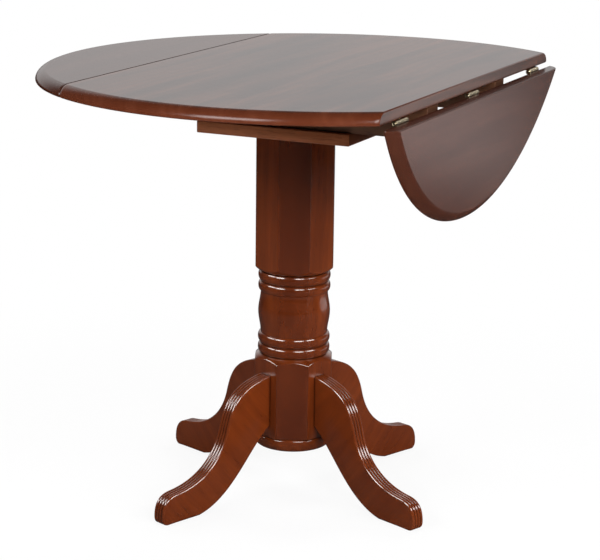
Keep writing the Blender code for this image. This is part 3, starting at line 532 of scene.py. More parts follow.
def wood_finish(name, turn, dark, middle, light, worn, figure, pores, roughness, patchiness, edge, bump,
                specular, tint, coat, coat_roughness, rim=None, end_grain=None, painted_diagonal_shade=None):
    """Stained wood under lacquer; end grain is darker, and grooves, diagonal flats and a rim get painted
    light and shade tones.
    """
    material, tree, shader = new_material(name)
    vector = placed_vector(tree, turn)
    feeds = {"Vector": vector, "Dark": dark, "Middle": middle, "Light": light, "Figure": figure,
             "Pores": pores}
    grain = put(tree, "Group", feeds, node_tree=grain_group).outputs
    wear = worn_skin(tree, vector, roughness, patchiness, edge)
    tone = grain["Color"]
    facing = put(tree, "SeparateXYZ", {0: put(tree, "TexCoord").outputs["Normal"]}).outputs
    across, along, level = (maths(tree, "ABSOLUTE", facing[axis]) for axis in "XYZ")
    # Painted light and shade on the moulded rim: its own tone, lighter on the centre board and darker on the
    # leaves.
    if rim:
        painted_rim_mask = spread(tree, level, *TURNED_OFF, 0.0, PAINTED_RIM_SHARE)
        unlike_joint = spread(tree, across, *TURNED_OFF)
        tone = blend_colours(tree, product(tree, painted_rim_mask, unlike_joint), tone, rim)
    if end_grain:
        cut_across = spread(tree, across, *SQUARE_ON, 0.0, END_GRAIN_SHARE)
        tone = blend_colours(tree, cut_across, tone, end_grain)
    # Painted shade: flats that face diagonally in the piece's own frame are multiplied darker.
    if painted_diagonal_shade:
        tone = blend_colours(tree, product(tree, across, along, 2.0), tone, painted_diagonal_shade, "MULTIPLY")
    colour = blend_colours(tree, wear["Edge"], tone, worn)
    # Painted shade in grooves and creases, from the open-air mask.
    colour = blend_colours(tree, product(tree, wear["Groove"], GROOVE_SHADE_SHARE), colour, PAINTED_GROOVE_SHADE)
    feed(tree, shader, {
        "Base Color": colour,
        "Roughness": wear["Roughness"],
        "Normal": bumped(tree, grain["Height"], bump, GRAIN_DEPTH, wear["Normal"]),
        "Specular IOR Level": specular,
        "Specular Tint": tint,
        "Coat Weight": product(tree, wear["Cover"], coat),
        "Coat Roughness": coat_roughness,
        "Coat IOR": LACQUER_IOR,
    })
    return material


print("ready to finish wood")

# %% Stains and lacquers
ALONG_X = (0, 0, 0)
ALONG_Y = (0, 0, pi / 2)
ALONG_Z = (0, pi / 2, 0)
ALONG_LEG = (0, radians(48), 0)
WORN = (0.30, 0.12, 0.05, 1)
RED_SHEEN = (1.0, 0.42, 0.18, 1)
PEDESTAL = dict(
    dark=(0.048, 0.008, 0.0015, 1), middle=(0.100, 0.017, 0.0025, 1), light=(0.152, 0.030, 0.005, 1),
    worn=WORN, figure=0.5, pores=0.25, roughness=0.35, patchiness=0.08, edge=0.5, bump=0.25,
    specular=0.10, tint=RED_SHEEN, coat=0.8, coat_roughness=0.14)
# The leaves' rim tone is darker than their wood: painted shade.
LEAF = dict(
    dark=(0.046, 0.0115, 0.006, 1), middle=(0.066, 0.0185, 0.0105, 1), light=(0.088, 0.029, 0.017, 1),
    worn=WORN, figure=0.7, pores=0.4, roughness=0.30, patchiness=0.06, edge=0.3, bump=0.25,
    specular=0.0, tint=WHITE, coat=0.65, coat_roughness=0.2, rim=(0.048, 0.0112, 0.004, 1))
# The centre board's rim tone is lighter and redder than its wood: painted light.
CENTRE = dict(
    LEAF, figure=0.9, dark=(0.030, 0.0075, 0.004, 1), light=(0.145, 0.052, 0.030, 1),
    rim=(0.090, 0.019, 0.006, 1))
BATTEN = dict(
    dark=(0.065, 0.024, 0.010, 1), middle=(0.115, 0.046, 0.020, 1), light=(0.17, 0.072, 0.032, 1),
    worn=(0.26, 0.12, 0.055, 1), figure=0.8, pores=0.6, roughness=0.55, patchiness=0.10, edge=0.3, bump=0.5,
    specular=0.25, tint=WHITE, coat=0.0, coat_roughness=0.3, end_grain=(0.045, 0.017, 0.008, 1))
# Painted light: the board's stain is lighter than the pedestal's, standing in for light on its front; its end
# grain stays darker.
BOARD_WITH_PAINTED_LIGHT = dict(
    dark=(0.140, 0.040, 0.015, 1), middle=(0.280, 0.088, 0.036, 1), light=(0.38, 0.13, 0.058, 1),
    worn=WORN, figure=0.7, pores=0.4, roughness=0.42, patchiness=0.10, edge=0.4, bump=0.3,
    specular=0.25, tint=RED_SHEEN, coat=0.1, coat_roughness=0.25, end_grain=(0.070, 0.020, 0.008, 1))
finishes = {
    "top": wood_finish("top_lacquer", ALONG_Y, **CENTRE),
    "leaf": wood_finish("leaf_lacquer", ALONG_Y, **LEAF),
    # The column's diagonal flats get painted shade.
    "column": wood_finish("column_lacquer", ALONG_Z, painted_diagonal_shade=(0.70, 0.64, 0.58, 1), **PEDESTAL),
    "leg": wood_finish("leg_lacquer", ALONG_LEG, **dict(PEDESTAL, figure=0.35)),
    "disc": wood_finish("disc_lacquer", ALONG_X, **PEDESTAL),
    "batten": wood_finish("batten_stain", ALONG_X, **BATTEN),
    "board": wood_finish("board_stain", ALONG_X, **BOARD_WITH_PAINTED_LIGHT),
}
print("wood finishes:", ", ".join(finishes))

# %% [markdown]
# ## The three metals
#
# Hinges are brass plate, the slides are bare rolled bar, and screws, guides and bolts are zinc plated.
# All three are the same shader with other numbers: fine scratches from rolling or tumbling, blotches of
# tarnish, and edges that have been rubbed brighter. Scratches are noise drawn out along one direction.

# %% Metal group
DRAWN_LINES = (40, 2600, 2600)
DRAWN_SHARE = 0.75
CROSS_LINES = (1500, 60, 300)
CROSS_SHARE = 0.25
LINE_RANGE = (0.35, 0.65)
LINE_SHADE = 0.35
BLOTCHES = (130, 130, 130)
BLOTCH_RANGE = (0.42, 0.68)


def metal_layers(tree, given):
    """Tarnish and scratches over clean metal."""
    vector, tarnish = given["Vector"], given["Tarnish"]
    drawn = noise(tree, vector, DRAWN_LINES, detail=2)
    cross = noise(tree, vector, CROSS_LINES, detail=2)
    lines = weighed(tree, drawn, DRAWN_SHARE, cross, CROSS_SHARE)
    blotch = noise(tree, vector, BLOTCHES, detail=4, roughness=0.65)
    stain = product(tree, spread(tree, blotch, *BLOTCH_RANGE), given["Tarnish Share"])
    skin = blend_colours(tree, stain, given["Clean"], tarnish)
    shade = product(tree, spread(tree, lines, *LINE_RANGE), given["Scratches"], LINE_SHADE)
    return {"Color": blend_colours(tree, shade, skin, tarnish), "Height": lines, "Dull": stain}


metal_group = new_group(
    "metal_skin",
    [("Vector", "Vector", None), ("Clean", "Color", WHITE), ("Tarnish", "Color", WHITE),
     ("Tarnish Share", "Float", 0.3), ("Scratches", "Float", 0.5)],
    [("Color", "Color"), ("Height", "Float"), ("Dull", "Float")], metal_layers)

# %% Metal finishes
LINE_BUMP = 0.15
LINE_DEPTH = 0.0001
TARNISH_DULLS = 0.25
METAL_PATCHINESS = 0.12


def metal_finish(name, turn, clean, tarnish, share, scratches, roughness, edge):
    """Bare or plated metal."""
    material, tree, shader = new_material(name)
    vector = placed_vector(tree, turn)
    feeds = {"Vector": vector, "Clean": clean, "Tarnish": tarnish, "Tarnish Share": share,
             "Scratches": scratches}
    skin = put(tree, "Group", feeds, node_tree=metal_group).outputs
    wear = worn_skin(tree, vector, roughness, METAL_PATCHINESS, edge)
    dulling = product(tree, skin["Dull"], TARNISH_DULLS)
    dull = maths(tree, "ADD", wear["Roughness"], dulling, clamp=True)
    feed(tree, shader, {
        "Base Color": blend_colours(tree, wear["Edge"], skin["Color"], clean),
        "Metallic": 1.0,
        "Roughness": dull,
        "Normal": bumped(tree, skin["Height"], LINE_BUMP, LINE_DEPTH, wear["Normal"]),
    })
    return material


METALS = {
    # name: material, way of the lines, clean, tarnish, share of tarnish, scratches, roughness, rubbed edges
    "brass": ("hinge_brass", ALONG_Y, (0.95, 0.82, 0.56, 1), (0.55, 0.41, 0.22, 1), 0.30, 0.25, 0.17, 0.6),
    "steel": ("slide_steel", ALONG_X, (0.60, 0.60, 0.61, 1), (0.28, 0.25, 0.23, 1), 0.5, 0.8, 0.34, 0.7),
    "zinc": ("plated_zinc", ALONG_X, (0.68, 0.69, 0.72, 1), (0.44, 0.44, 0.43, 1), 0.5, 0.3, 0.28, 0.5),
}
for metal, numbers in METALS.items():
    finishes[metal] = metal_finish(*numbers)
print("metal finishes:", ", ".join(METALS))

# %% [markdown]
# ## Helpers for meshes
#
# Most pieces are stacks of rings: a turned foot, a board with a moulded rim, a bar. Skinning rings in
# bmesh keeps each shape to a few named sizes, where modifiers would hide them. Holes are exact Booleans.
# `dress` puts the finished mesh in the solid's place, on its body.

# %% Rings and turned solids
def polar(radius, angle, z):
    """Point at a radius and an angle round the Z axis."""
    return Vector((radius * cos(angle), radius * sin(angle), z))


def quarter(steps):
    """Angles of a quarter turn, both ends included."""
    return [pi / 2 * i / steps for i in range(steps + 1)]


def circle(radius, z, sides):
    """Level circle, counterclockwise from above."""
    return [polar(radius, 2 * pi * i / sides, z) for i in range(sides)]


def skin_rings(bm, rings, place=Matrix(), hollow=False):
    """Skins rings of equal count: capped at both ends, or joined last to first when hollow."""
    rows = [[bm.verts.new(place @ point) for point in ring] for ring in rings]
    pairs = list(zip(rows, rows[1:]))
    if hollow:
        pairs.append((rows[-1], rows[0]))
    else:
        bm.faces.new(list(reversed(rows[0])))
        bm.faces.new(rows[-1])
    for low, high in pairs:
        for i in range(len(low)):
            j = (i + 1) % len(low)
            bm.faces.new((low[i], low[j], high[j], high[i]))
    return rows


def solid(bm, name):
    """Mesh with its faces pointing out."""
    bmesh.ops.recalc_face_normals(bm, faces=bm.faces)
    mesh = bpy.data.meshes.new(name)
    bm.to_mesh(mesh)
    bm.free()
    return mesh


def lathe(profile, sides, name, place=Matrix()):
    """Turned solid through (radius, z) pairs, bottom to top."""
    bm = bmesh.new()
    skin_rings(bm, [circle(radius, z, sides) for radius, z in profile], place)
    return solid(bm, name)


print("rings and turned solids ready")

# %% Booleans
def joined(meshes, name):
    """One mesh that holds several, as a tool for a Boolean."""
    bm = bmesh.new()
    for mesh in meshes:
        bm.from_mesh(mesh)
    return solid(bm, name)


def combine(body, tool, operation):
    """Exact Boolean of two meshes."""
    pair = [add_object(mesh.name, mesh) for mesh in (body, tool)]
    change = pair[0].modifiers.new("combine", "BOOLEAN")
    change.operation = operation
    change.object = pair[1]
    bpy.context.view_layer.update()
    graph = bpy.context.evaluated_depsgraph_get()
    result = bpy.data.meshes.new_from_object(pair[0].evaluated_get(graph))
    for item in pair:
        bpy.data.objects.remove(item)
    return result


print("Booleans ready")

# %% Dressing a solid
SHARP = radians(30)


def middle_of(node):
    """Middle of a solid's box."""
    return [(low + high) / 2 for low, high in zip(*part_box(node))]


def dress(node, mesh, place, finish, suffix):
    """Puts a finished mesh in the place of a solid and on its body, with its finish, and hides the solid."""
    piece = add_object(f"{node}_{suffix}", mesh)
    piece.matrix_world = place
    mesh.materials.clear()
    mesh.materials.append(finishes[finish])
    mesh.shade_smooth()
    mesh.set_sharp_from_angle(angle=SHARP)
    if "crisp" in mesh.attributes:
        for edge, crisp in zip(mesh.edges, mesh.attributes["crisp"].data):
            edge.use_edge_sharp |= crisp.value > 0
    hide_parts(node)
    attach(piece, frame["nodes"][node]["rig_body"])
    return piece


TABLE = Matrix.Translation((TABLE_X, 0, 0))
print("ready to dress, table's middle at x =", round(TABLE_X, 4))

# %% [markdown]
# ## The round top
#
# Three boards make one circle: the fixed centre board and two leaves. A cutter has run round the edge and
# left a moulding that starts with a slight break at the shoulder and rounds over until it is upright. A bevel
# would give flat strips; rings along an arc of slopes give one soft highlight. The joints stay straight, with
# arrises broken by sandpaper.

# %% Rim of the top
TOP_THICKNESS = TOP_HIGH.z - TOP_LOW.z
RIM_RUN = 0.0189
RIM_LOWER_ROUND = 0.004
RIM_SLOPES = (radians(20), radians(88))
ARRIS = 0.0017
RIM_STEPS = 16
RIM_LOWER_STEPS = 5


def rim_levels():
    """(inset, height, joint inset) of the rim from the underside up to the flat."""
    fall = TOP_THICKNESS - RIM_LOWER_ROUND
    first, last = RIM_SLOPES
    levels = []
    for a in quarter(RIM_LOWER_STEPS)[:-1]:
        levels.append((RIM_LOWER_ROUND * (1 - sin(a)), RIM_LOWER_ROUND * (1 - cos(a))))
    for i in range(RIM_STEPS + 1):
        t = last + (first - last) * i / RIM_STEPS
        across = (sin(t) - sin(first)) / (sin(last) - sin(first))
        down = (cos(first) - cos(t)) / (cos(first) - cos(last))
        levels.append((RIM_RUN * (1 - across), TOP_THICKNESS - fall * down))
    return [(inset, h, max(0.0, ARRIS - min(h, TOP_THICKNESS - h))) for inset, h in levels]


print("rim of", len(rim_levels()), "levels, top", round(TOP_THICKNESS, 4), "m thick")

# %% Outlines of the boards
TOP_RADIUS = TOP_HIGH.y
LEAF_JOINT_GAP = 0.0008
HINGE_LINE_X = (TOP_HIGH.x - TOP_LOW.x + LEAF_JOINT_GAP) / 2
ARC_STEP = radians(0.75)


def arc(radius, start, end, steps, z):
    """Points along an arc of the rim, both ends included."""
    return [polar(radius, start + (end - start) * i / steps, z) for i in range(steps + 1)]


def centre_outline(radius, joint, z):
    """Two arcs between the two straight joints, with broken corners."""
    edge = HINGE_LINE_X - LEAF_JOINT_GAP / 2 - joint
    corner, reach = acos((edge - ARRIS) / radius), sqrt(radius ** 2 - edge ** 2) - ARRIS
    steps = ceil((pi - 2 * acos(HINGE_LINE_X / TOP_RADIUS)) / ARC_STEP)
    spots = ((-edge, -reach), (edge, -reach), (edge, reach), (-edge, reach))
    ends = [Vector((*spot, z)) for spot in spots]
    near = ends[:1] + arc(radius, corner - pi, -corner, steps, z) + ends[1:2]
    return near + ends[2:3] + arc(radius, corner, pi - corner, steps, z) + ends[3:]


def leaf_outline(radius, joint, z):
    """One arc and a straight joint, with broken corners."""
    edge = HINGE_LINE_X + LEAF_JOINT_GAP / 2 + joint
    corner, reach = acos((edge + ARRIS) / radius), sqrt(radius ** 2 - edge ** 2) - ARRIS
    steps = ceil(2 * acos(HINGE_LINE_X / TOP_RADIUS) / ARC_STEP)
    rim = arc(radius, -corner, corner, steps, z)
    return [Vector((edge, -reach, z))] + rim + [Vector((edge, reach, z))]


# %% Boards of the top
def board_mesh(name, outline, place):
    """Board skinned over its rim levels, with a crisp shoulder line."""
    bm = bmesh.new()
    rings = [outline(TOP_RADIUS - inset, joint, TOP_LOW.z + h) for inset, h, joint in rim_levels()]
    shoulder = skin_rings(bm, rings, place)[-1]
    crisp = bm.edges.layers.float.new("crisp")
    for a, b in zip(shoulder, shoulder[1:] + shoulder[:1]):
        bm.edges.get((a, b))[crisp] = 1.0
    return solid(bm, name)


PIN_Z = joints["right_leaf_hinge"]["pos_m"][2]
DROP = radians(joints["right_leaf_hinge"]["range_deg"][1])
from_pin = Matrix.Translation((-HINGE_LINE_X, 0, -PIN_Z))
SIDES = {"left": pi, "right": 0.0}
leaf_places, half_places, boards = {}, {}, []
for side, turn in SIDES.items():
    half_places[side] = TABLE @ Matrix.Rotation(turn, 4, "Z")
    hang = Matrix.Rotation(DROP if side == "right" else 0.0, 4, "Y")
    leaf_places[side] = half_places[side] @ Matrix.Translation((HINGE_LINE_X, 0, PIN_Z)) @ hang
    mesh = board_mesh("leaf", leaf_outline, from_pin)
    boards.append(dress(f"{side}_leaf", mesh, leaf_places[side], "leaf", "board"))
boards.append(dress("centre_top", board_mesh("centre", centre_outline, Matrix()), TABLE, "top", "board"))
print("round top", round(2 * TOP_RADIUS, 4), "m across, leaf hangs at", round(degrees(DROP), 1), "degrees")

# %% [markdown]
# ## Lamps kept off the boards
#
# A photographer flags a lamp so that it misses a shiny surface. From the far side of the table the flat top
# would mirror the four bright strips as white sheets. Dimmer strips would cost the beads their highlights,
# so light linking flags them instead: the bright strips miss the boards, and two broad dim ones with a panel
# each are for the boards and their rim alone. The low panel at the right, which is for the column, misses
# the boards too, or it would bleach the dropped leaf.

# %% Light linking
only_boards = bpy.data.collections.new("only_boards")
all_but_boards = bpy.data.collections.new("all_but_boards")
for board in boards:
    only_boards.objects.link(board)
    all_but_boards.objects.link(board)
for member in all_but_boards.collection_objects:
    member.light_linking.link_state = "EXCLUDE"
flagged = [name for name in softboxes if name.endswith("_strip") or name.startswith(("rim", "low"))]
for name in flagged:
    receivers = only_boards if name.startswith("rim") else all_but_boards
    softboxes[name].light_linking.receiver_collection = receivers
print(len(flagged), "lamps flagged")

# %% [markdown]
# ## The column
#
# One octagonal post, turned on a lathe between its block and its shaft: two beads, a barrel, two beads.
# Where the lathe cut meets the flats it leaves arched shoulders. An exact Boolean would cut them razor
# sharp, and sandpaper does not. So each level is a ring whose reach is the lesser of octagon and lathe cut,
# rounded where the two cross: the arches come by themselves and their edges catch the light.

# %% Lathe cut of the column
PEDESTAL_TURN = radians(-21.55)
column_low, column_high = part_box("column")
pedestal_x, pedestal_y, _ = middle_of("base_disc")
PEDESTAL_PLACE = Matrix.Translation((pedestal_x, pedestal_y, 0)) @ Matrix.Rotation(PEDESTAL_TURN, 4, "Z")
COLUMN_FACE = 0.075
COLUMN_CORNER = COLUMN_FACE / cos(pi / 8)
ARCH_ROUND = 0.0016
ARCH_STEP = 0.0004
BLOCK_HEIGHT = 0.157
BLOCK_TOP_Z = column_low.z + BLOCK_HEIGHT
SHOULDER_CORNER_DROP = 0.0058
SHOULDER_RISE = 0.0042
BEAD_HEIGHT = 0.0192
BEAD_QUIRK = 0.0020
BEAD_CREST = COLUMN_FACE - 0.0046
NECK = COLUMN_FACE - 0.0096
BARREL = COLUMN_FACE - 0.0048
BARREL_HEIGHT = 0.0838
CUT_MARGIN = 0.005


def bead_pair(foot, steps=14):
    """Two half-round beads with a narrow quirk between them."""
    points = []
    for start in (foot, foot + BEAD_HEIGHT + BEAD_QUIRK):
        for i in range(steps + 1):
            a = pi * i / steps
            reach = NECK + (BEAD_CREST - NECK) * sin(a)
            points.append((reach, start + BEAD_HEIGHT / 2 * (1 - cos(a))))
    return points


def arch(foot, radius, fall):
    """Close-set levels over a shoulder, where the cut leaves the flats upward (+1) or downward (-1)."""
    reach = COLUMN_CORNER + CUT_MARGIN - radius
    slope = SHOULDER_CORNER_DROP / (COLUMN_CORNER - COLUMN_FACE)
    steps = ceil(reach * slope / ARCH_STEP)
    return [(radius + reach * i / steps, foot + fall * slope * reach * i / steps) for i in range(steps + 1)]


def turning(steps=44):
    """Outline of the lathe cut, clear of the octagon along block and shaft."""
    lower = BLOCK_TOP_Z + SHOULDER_RISE
    barrel = lower + 2 * BEAD_HEIGHT + BEAD_QUIRK
    upper = barrel + BARREL_HEIGHT
    shaft = upper + 2 * BEAD_HEIGHT + BEAD_QUIRK + SHOULDER_RISE
    clear = COLUMN_CORNER + CUT_MARGIN
    profile = [(clear, column_low.z)] + list(reversed(arch(BLOCK_TOP_Z, COLUMN_FACE - ARCH_ROUND, -1)))
    profile += bead_pair(lower)
    for i in range(1, steps):
        wave = (1 - cos(2 * pi * i / steps)) / 2
        profile.append((NECK + (BARREL - NECK) * wave, barrel + BARREL_HEIGHT * i / steps))
    profile += bead_pair(upper)
    return profile + arch(shaft, COLUMN_FACE - ARCH_ROUND, 1) + [(clear, column_high.z)]


print("lathe cut of", len(turning()), "levels")

# %% Column
BORE_FACE = 0.035
CORNER_EASE = 0.0004
HALF_FACE_DEGREES = (0, 3, 6, 9, 12, 15, 18, 20, 21, 21.6, 22, 22.3)


def flat_angles():
    """Angles round the column, closer together near the eight corners."""
    half = [radians(d) for d in HALF_FACE_DEGREES]
    face = [-a for a in reversed(half[1:])] + half
    return [pi / 4 * i + a for i in range(8) for a in face]


def from_flat(angle):
    """Angle from the middle of the nearest flat."""
    return (angle + pi / 8) % (pi / 4) - pi / 8


def softer_least(a, b, blend):
    """Lesser of two sizes, rounded where they cross."""
    share = max(0.0, 1 - abs(a - b) / blend)
    return min(a, b) - blend * share * share / 4


def column_ring(radius, z):
    """Level where octagon and lathe cut meet: the lesser of the two, with the arris eased."""
    points = []
    for angle in flat_angles():
        flat = softer_least(COLUMN_FACE / cos(from_flat(angle)), COLUMN_CORNER - CORNER_EASE, CORNER_EASE)
        reach = softer_least(flat, radius, ARCH_ROUND)
        points.append(polar(reach, angle, z))
    return points


def bore_ring(z):
    """Octagonal bore, with as many points as a level of the column."""
    return [polar(BORE_FACE / cos(from_flat(angle)), angle, z) for angle in flat_angles()]


rings = [column_ring(radius, z) for radius, z in turning()]
bm = bmesh.new()
skin_rings(bm, [bore_ring(column_low.z)] + rings + [bore_ring(column_high.z)], hollow=True)
dress("column", solid(bm, "column"), PEDESTAL_PLACE, "column", "turning")
print("column", round(column_high.z - column_low.z, 4), "m long")

# %% [markdown]
# ## The disc under the column
#
# A turned disc closes the column and shows a rounded lip under the block. Its sides draw in towards the
# foot. Seen from below it has a sunk hole for the nut of the rod that clamps the pedestal together.

# %% Base disc
disc_low, disc_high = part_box("base_disc")
DISC_LIP = 0.004
DISC_RADIUS = COLUMN_FACE + DISC_LIP
DISC_SIDES = 128
DISC_FOOT_RADIUS = 0.0665
DISC_EDGE_ROUND = 0.005
ROD_HOLE = 0.0053
RECESS_RADIUS = 0.016
RECESS_DEPTH = 0.0125
RECESS_SIDES = 40


def disc_profile(steps=10):
    """Sides that draw in to the foot, and a rounded top edge."""
    rise = disc_high.z - disc_low.z - DISC_EDGE_ROUND
    profile = []
    for a in quarter(steps)[:-1]:
        reach = DISC_FOOT_RADIUS + (DISC_RADIUS - DISC_FOOT_RADIUS) * sin(a)
        profile.append((reach, disc_low.z + rise * (1 - cos(a))))
    for a in quarter(steps):
        reach = DISC_RADIUS - DISC_EDGE_ROUND * (1 - cos(a))
        profile.append((reach, disc_low.z + rise + DISC_EDGE_ROUND * sin(a)))
    return profile


recess = [(RECESS_RADIUS, disc_low.z - CUT_MARGIN), (RECESS_RADIUS, disc_low.z + RECESS_DEPTH),
          (ROD_HOLE, disc_low.z + RECESS_DEPTH), (ROD_HOLE, disc_high.z + CUT_MARGIN)]
hole = lathe(recess, RECESS_SIDES, "recess")
disc = combine(lathe(disc_profile(), DISC_SIDES, "disc"), hole, "DIFFERENCE")
dress("base_disc", disc, PEDESTAL_PLACE, "disc", "turning")
print("disc", round(2 * DISC_RADIUS, 4), "m across")

# %% [markdown]
# ## The legs
#
# Each leg is sawn from a plank to a scroll and then run past a cutter that leaves four rounded reeds along
# its crest, over the knee and down the toe. Bezier curves give the scroll with few sizes, all measured from
# the face of the block. The section with the reeds is swept along the crest; the under edge is eased.

# %% Scroll of a leg
FIT_GAP = 0.0003
ROOT_DROP = 0.030
ROOT_RISE = 0.0245
ROOT_TOP = Vector((FIT_GAP, BLOCK_TOP_Z - ROOT_DROP))
ROOT_FOOT = Vector((FIT_GAP, column_low.z + ROOT_RISE))
WAIST = Vector((0.1082, 0.1553))
INSTEP = Vector((0.2347, 0.0567))
TOE = Vector((0.2707, 0.013))
TOE_ROUND = 0.010
TOE_HANDLE = 0.026
HEEL = Vector((0.1797, 0.0))
KNEE_STEPS = 26
TOE_STEPS = 16
TOE_ROUND_STEPS = 6
UNDER_STEPS = 30


def heading(fall):
    """Unit direction outward and down, by degrees below level."""
    return Vector((cos(radians(fall)), -sin(radians(fall))))


WAIST_WAY = heading(75.2)
INSTEP_WAY = heading(5.8)
SHOULDER_PULL = 0.0746 * heading(8.1)
WAIST_UPPER_PULL = 0.0521 * WAIST_WAY
WAIST_LOWER_PULL = 0.0555 * WAIST_WAY
INSTEP_PULL = 0.0714 * INSTEP_WAY
HEEL_PULL = 0.086 * heading(11.2)
ROOT_FOOT_PULL = 0.0673 * heading(35.7)


def bezier(start, start_handle, end_handle, end, steps):
    """Points along one cubic curve, start included and end left out."""
    points = []
    for i in range(steps):
        t = i / steps
        s = 1 - t
        near = s ** 3 * start + 3 * s * s * t * start_handle
        points.append(near + 3 * s * t * t * end_handle + t ** 3 * end)
    return points


def crest_path():
    """Crest of the leg from the block over the knee to the floor at the toe."""
    path = bezier(ROOT_TOP, ROOT_TOP + SHOULDER_PULL, WAIST - WAIST_UPPER_PULL, WAIST, KNEE_STEPS)
    path += bezier(WAIST, WAIST + WAIST_LOWER_PULL, INSTEP - INSTEP_PULL, INSTEP, KNEE_STEPS)
    toe_handle = TOE + Vector((0, TOE_HANDLE))
    path += bezier(INSTEP, INSTEP + TOE_HANDLE * INSTEP_WAY, toe_handle, TOE, TOE_STEPS)
    for a in quarter(TOE_ROUND_STEPS):
        path.append(Vector((TOE.x - TOE_ROUND * (1 - cos(a)), TOE.y * (1 - sin(a)))))
    return path


def under_path():
    """Under edge of the leg from the heel up to the block."""
    curve = bezier(HEEL, HEEL - HEEL_PULL, ROOT_FOOT + ROOT_FOOT_PULL, ROOT_FOOT, UNDER_STEPS)
    return curve + [ROOT_FOOT]


print("scroll of", len(crest_path()) + len(under_path()), "points")

# %% Sections of a leg
LEG_THICKNESS = 0.028
REED_COUNT = 4
REED_DROP = 0.0026
UNDER_ROUND = 0.0022


def reed_section(steps=8):
    """(across, drop) pairs over the rounded reeds."""
    width = LEG_THICKNESS / REED_COUNT
    radius = (width * width / 4 + REED_DROP * REED_DROP) / (2 * REED_DROP)
    points = []
    for i in range(REED_COUNT * steps + 1):
        offset = width * (i % steps) / steps - width / 2
        points.append((width * i / steps - LEG_THICKNESS / 2, radius - sqrt(radius ** 2 - offset ** 2)))
    return points


def under_section(steps=4):
    """(across, drop) pairs over the under edge with its eased corners."""
    flat = LEG_THICKNESS / 2 - UNDER_ROUND
    left = [(-flat - UNDER_ROUND * cos(a), UNDER_ROUND * (1 - sin(a))) for a in quarter(steps)]
    return left + [(-across, drop) for across, drop in reversed(left)]


print("sections of", len(reed_section()), "and", len(under_section()), "points")

# %% Legs
def normals(path, first, last):
    """Directions to the left of a path, with given ones at its two ends."""
    middle = []
    for before, after in zip(path, path[2:]):
        along = (after - before).normalized()
        middle.append(Vector((-along.y, along.x)))
    return [first] + middle + [last]


def swept_rows(bm, path, directions, section):
    """Rows of points of a section carried along a path."""
    rows = []
    for point, normal in zip(path, directions):
        spots = [(point - normal * drop, across) for across, drop in section]
        rows.append([bm.verts.new((spot.x, across, spot.y)) for spot, across in spots])
    return rows


def skin_rows(bm, rows):
    """Faces between neighbouring rows."""
    for row, following in zip(rows, rows[1:]):
        for i in range(len(row) - 1):
            bm.faces.new((row[i], row[i + 1], following[i + 1], following[i]))


def leg_mesh():
    """Leg with flat sides, a reeded crest and an eased under edge."""
    bm = bmesh.new()
    path = crest_path()
    directions = normals(path, Vector((0, 1)), Vector((1, 0)))
    directions = [Vector((1, 0)) if point.y <= TOE.y else n for point, n in zip(path, directions)]
    crest = swept_rows(bm, path, directions, reed_section())
    below = under_path()
    under = swept_rows(bm, below, normals(below, Vector((0, -1)), Vector((0, -1))), under_section())
    skin_rows(bm, crest)
    skin_rows(bm, under)
    bm.faces.new(crest[-1] + list(reversed(under[0])))
    bm.faces.new(crest[0] + list(reversed(under[-1])))
    for side in (0, -1):
        bm.faces.new([row[side] for row in crest] + [row[side] for row in under])
    return solid(bm, "leg")


LEGS = {"near_right": 0.0, "far_right": pi / 2, "far_left": pi, "near_left": 3 * pi / 2}
for name, turn in LEGS.items():
    place = PEDESTAL_PLACE @ Matrix.Rotation(turn, 4, "Z") @ Matrix.Translation((COLUMN_FACE, 0, 0))
    dress(f"{name}_leg", leg_mesh(), place, "leg", "scroll")
print(len(LEGS), "legs with", REED_COUNT, "reeds each")

# %% [markdown]
# ## Battens and the board below them
#
# Plain sawn timber with eased edges carries the top: two battens, and a thick board across them that the
# column stands up against. Their screws sit in drilled holes. A bevelled box with round holes cut into it
# is all that such timber is; what shows is the grain and the soft edges.

# %% Drilled timber
TIMBER_EASE = 0.0018
EASE_SEGMENTS = 3
DRILL_SIDES = 24


def timber(node):
    """Bar the size of a solid with rounded arrises."""
    low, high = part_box(node)
    bm = bmesh.new()
    corners = ((low.x, low.y), (high.x, low.y), (high.x, high.y), (low.x, high.y))
    skin_rings(bm, [[Vector((x, y, z)) for x, y in corners] for z in (low.z, high.z)])
    bmesh.ops.bevel(bm, geom=bm.edges[:], offset=TIMBER_EASE, segments=EASE_SEGMENTS, affect="EDGES",
                    profile=0.5)
    return solid(bm, "timber")


def drilled(mesh, spots):
    """Timber with round holes: (x, y, foot, head, radius)."""
    drills = []
    for x, y, foot, head, radius in spots:
        place = Matrix.Translation((x, y, 0))
        drills.append(lathe([(radius, foot), (radius, head)], DRILL_SIDES, "drill", place))
    return combine(mesh, joined(drills, "drills"), "DIFFERENCE")


print("drilled timber ready")

# %% Battens and board
SCREW_HEAD_HOLE = 0.0051


def screw_spot(node, foot, head):
    """Hole in line with a screw."""
    x, y, _ = middle_of(node)
    return (x, y, foot, head, SCREW_HEAD_HOLE)


ROWS = ("near", "far")
board_low, board_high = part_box("mounting_board")
board_spots = []
for row in ROWS:
    batten_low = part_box(f"{row}_batten")[0]
    spots = []
    for end in SIDES:
        screw = f"{row}_{end}_batten_screw"
        spots.append(screw_spot(screw, batten_low.z - CUT_MARGIN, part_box(screw)[0].z))
        screw = f"{row}_{end}_board_screw"
        board_spots.append(screw_spot(screw, board_low.z - CUT_MARGIN, board_low.z + FIT_GAP))
    dress(f"{row}_batten", drilled(timber(f"{row}_batten"), spots), Matrix(), "batten", "bar")
rod_x, rod_y, _ = middle_of("tie_rod")
board_spots.append((rod_x, rod_y, board_low.z - CUT_MARGIN, board_high.z + CUT_MARGIN, ROD_HOLE))
dress("mounting_board", drilled(timber("mounting_board"), board_spots), Matrix(), "board", "plank")
print(len(ROWS), "battens and a board, drilled for", 4 * len(ROWS), "screws and the rod")

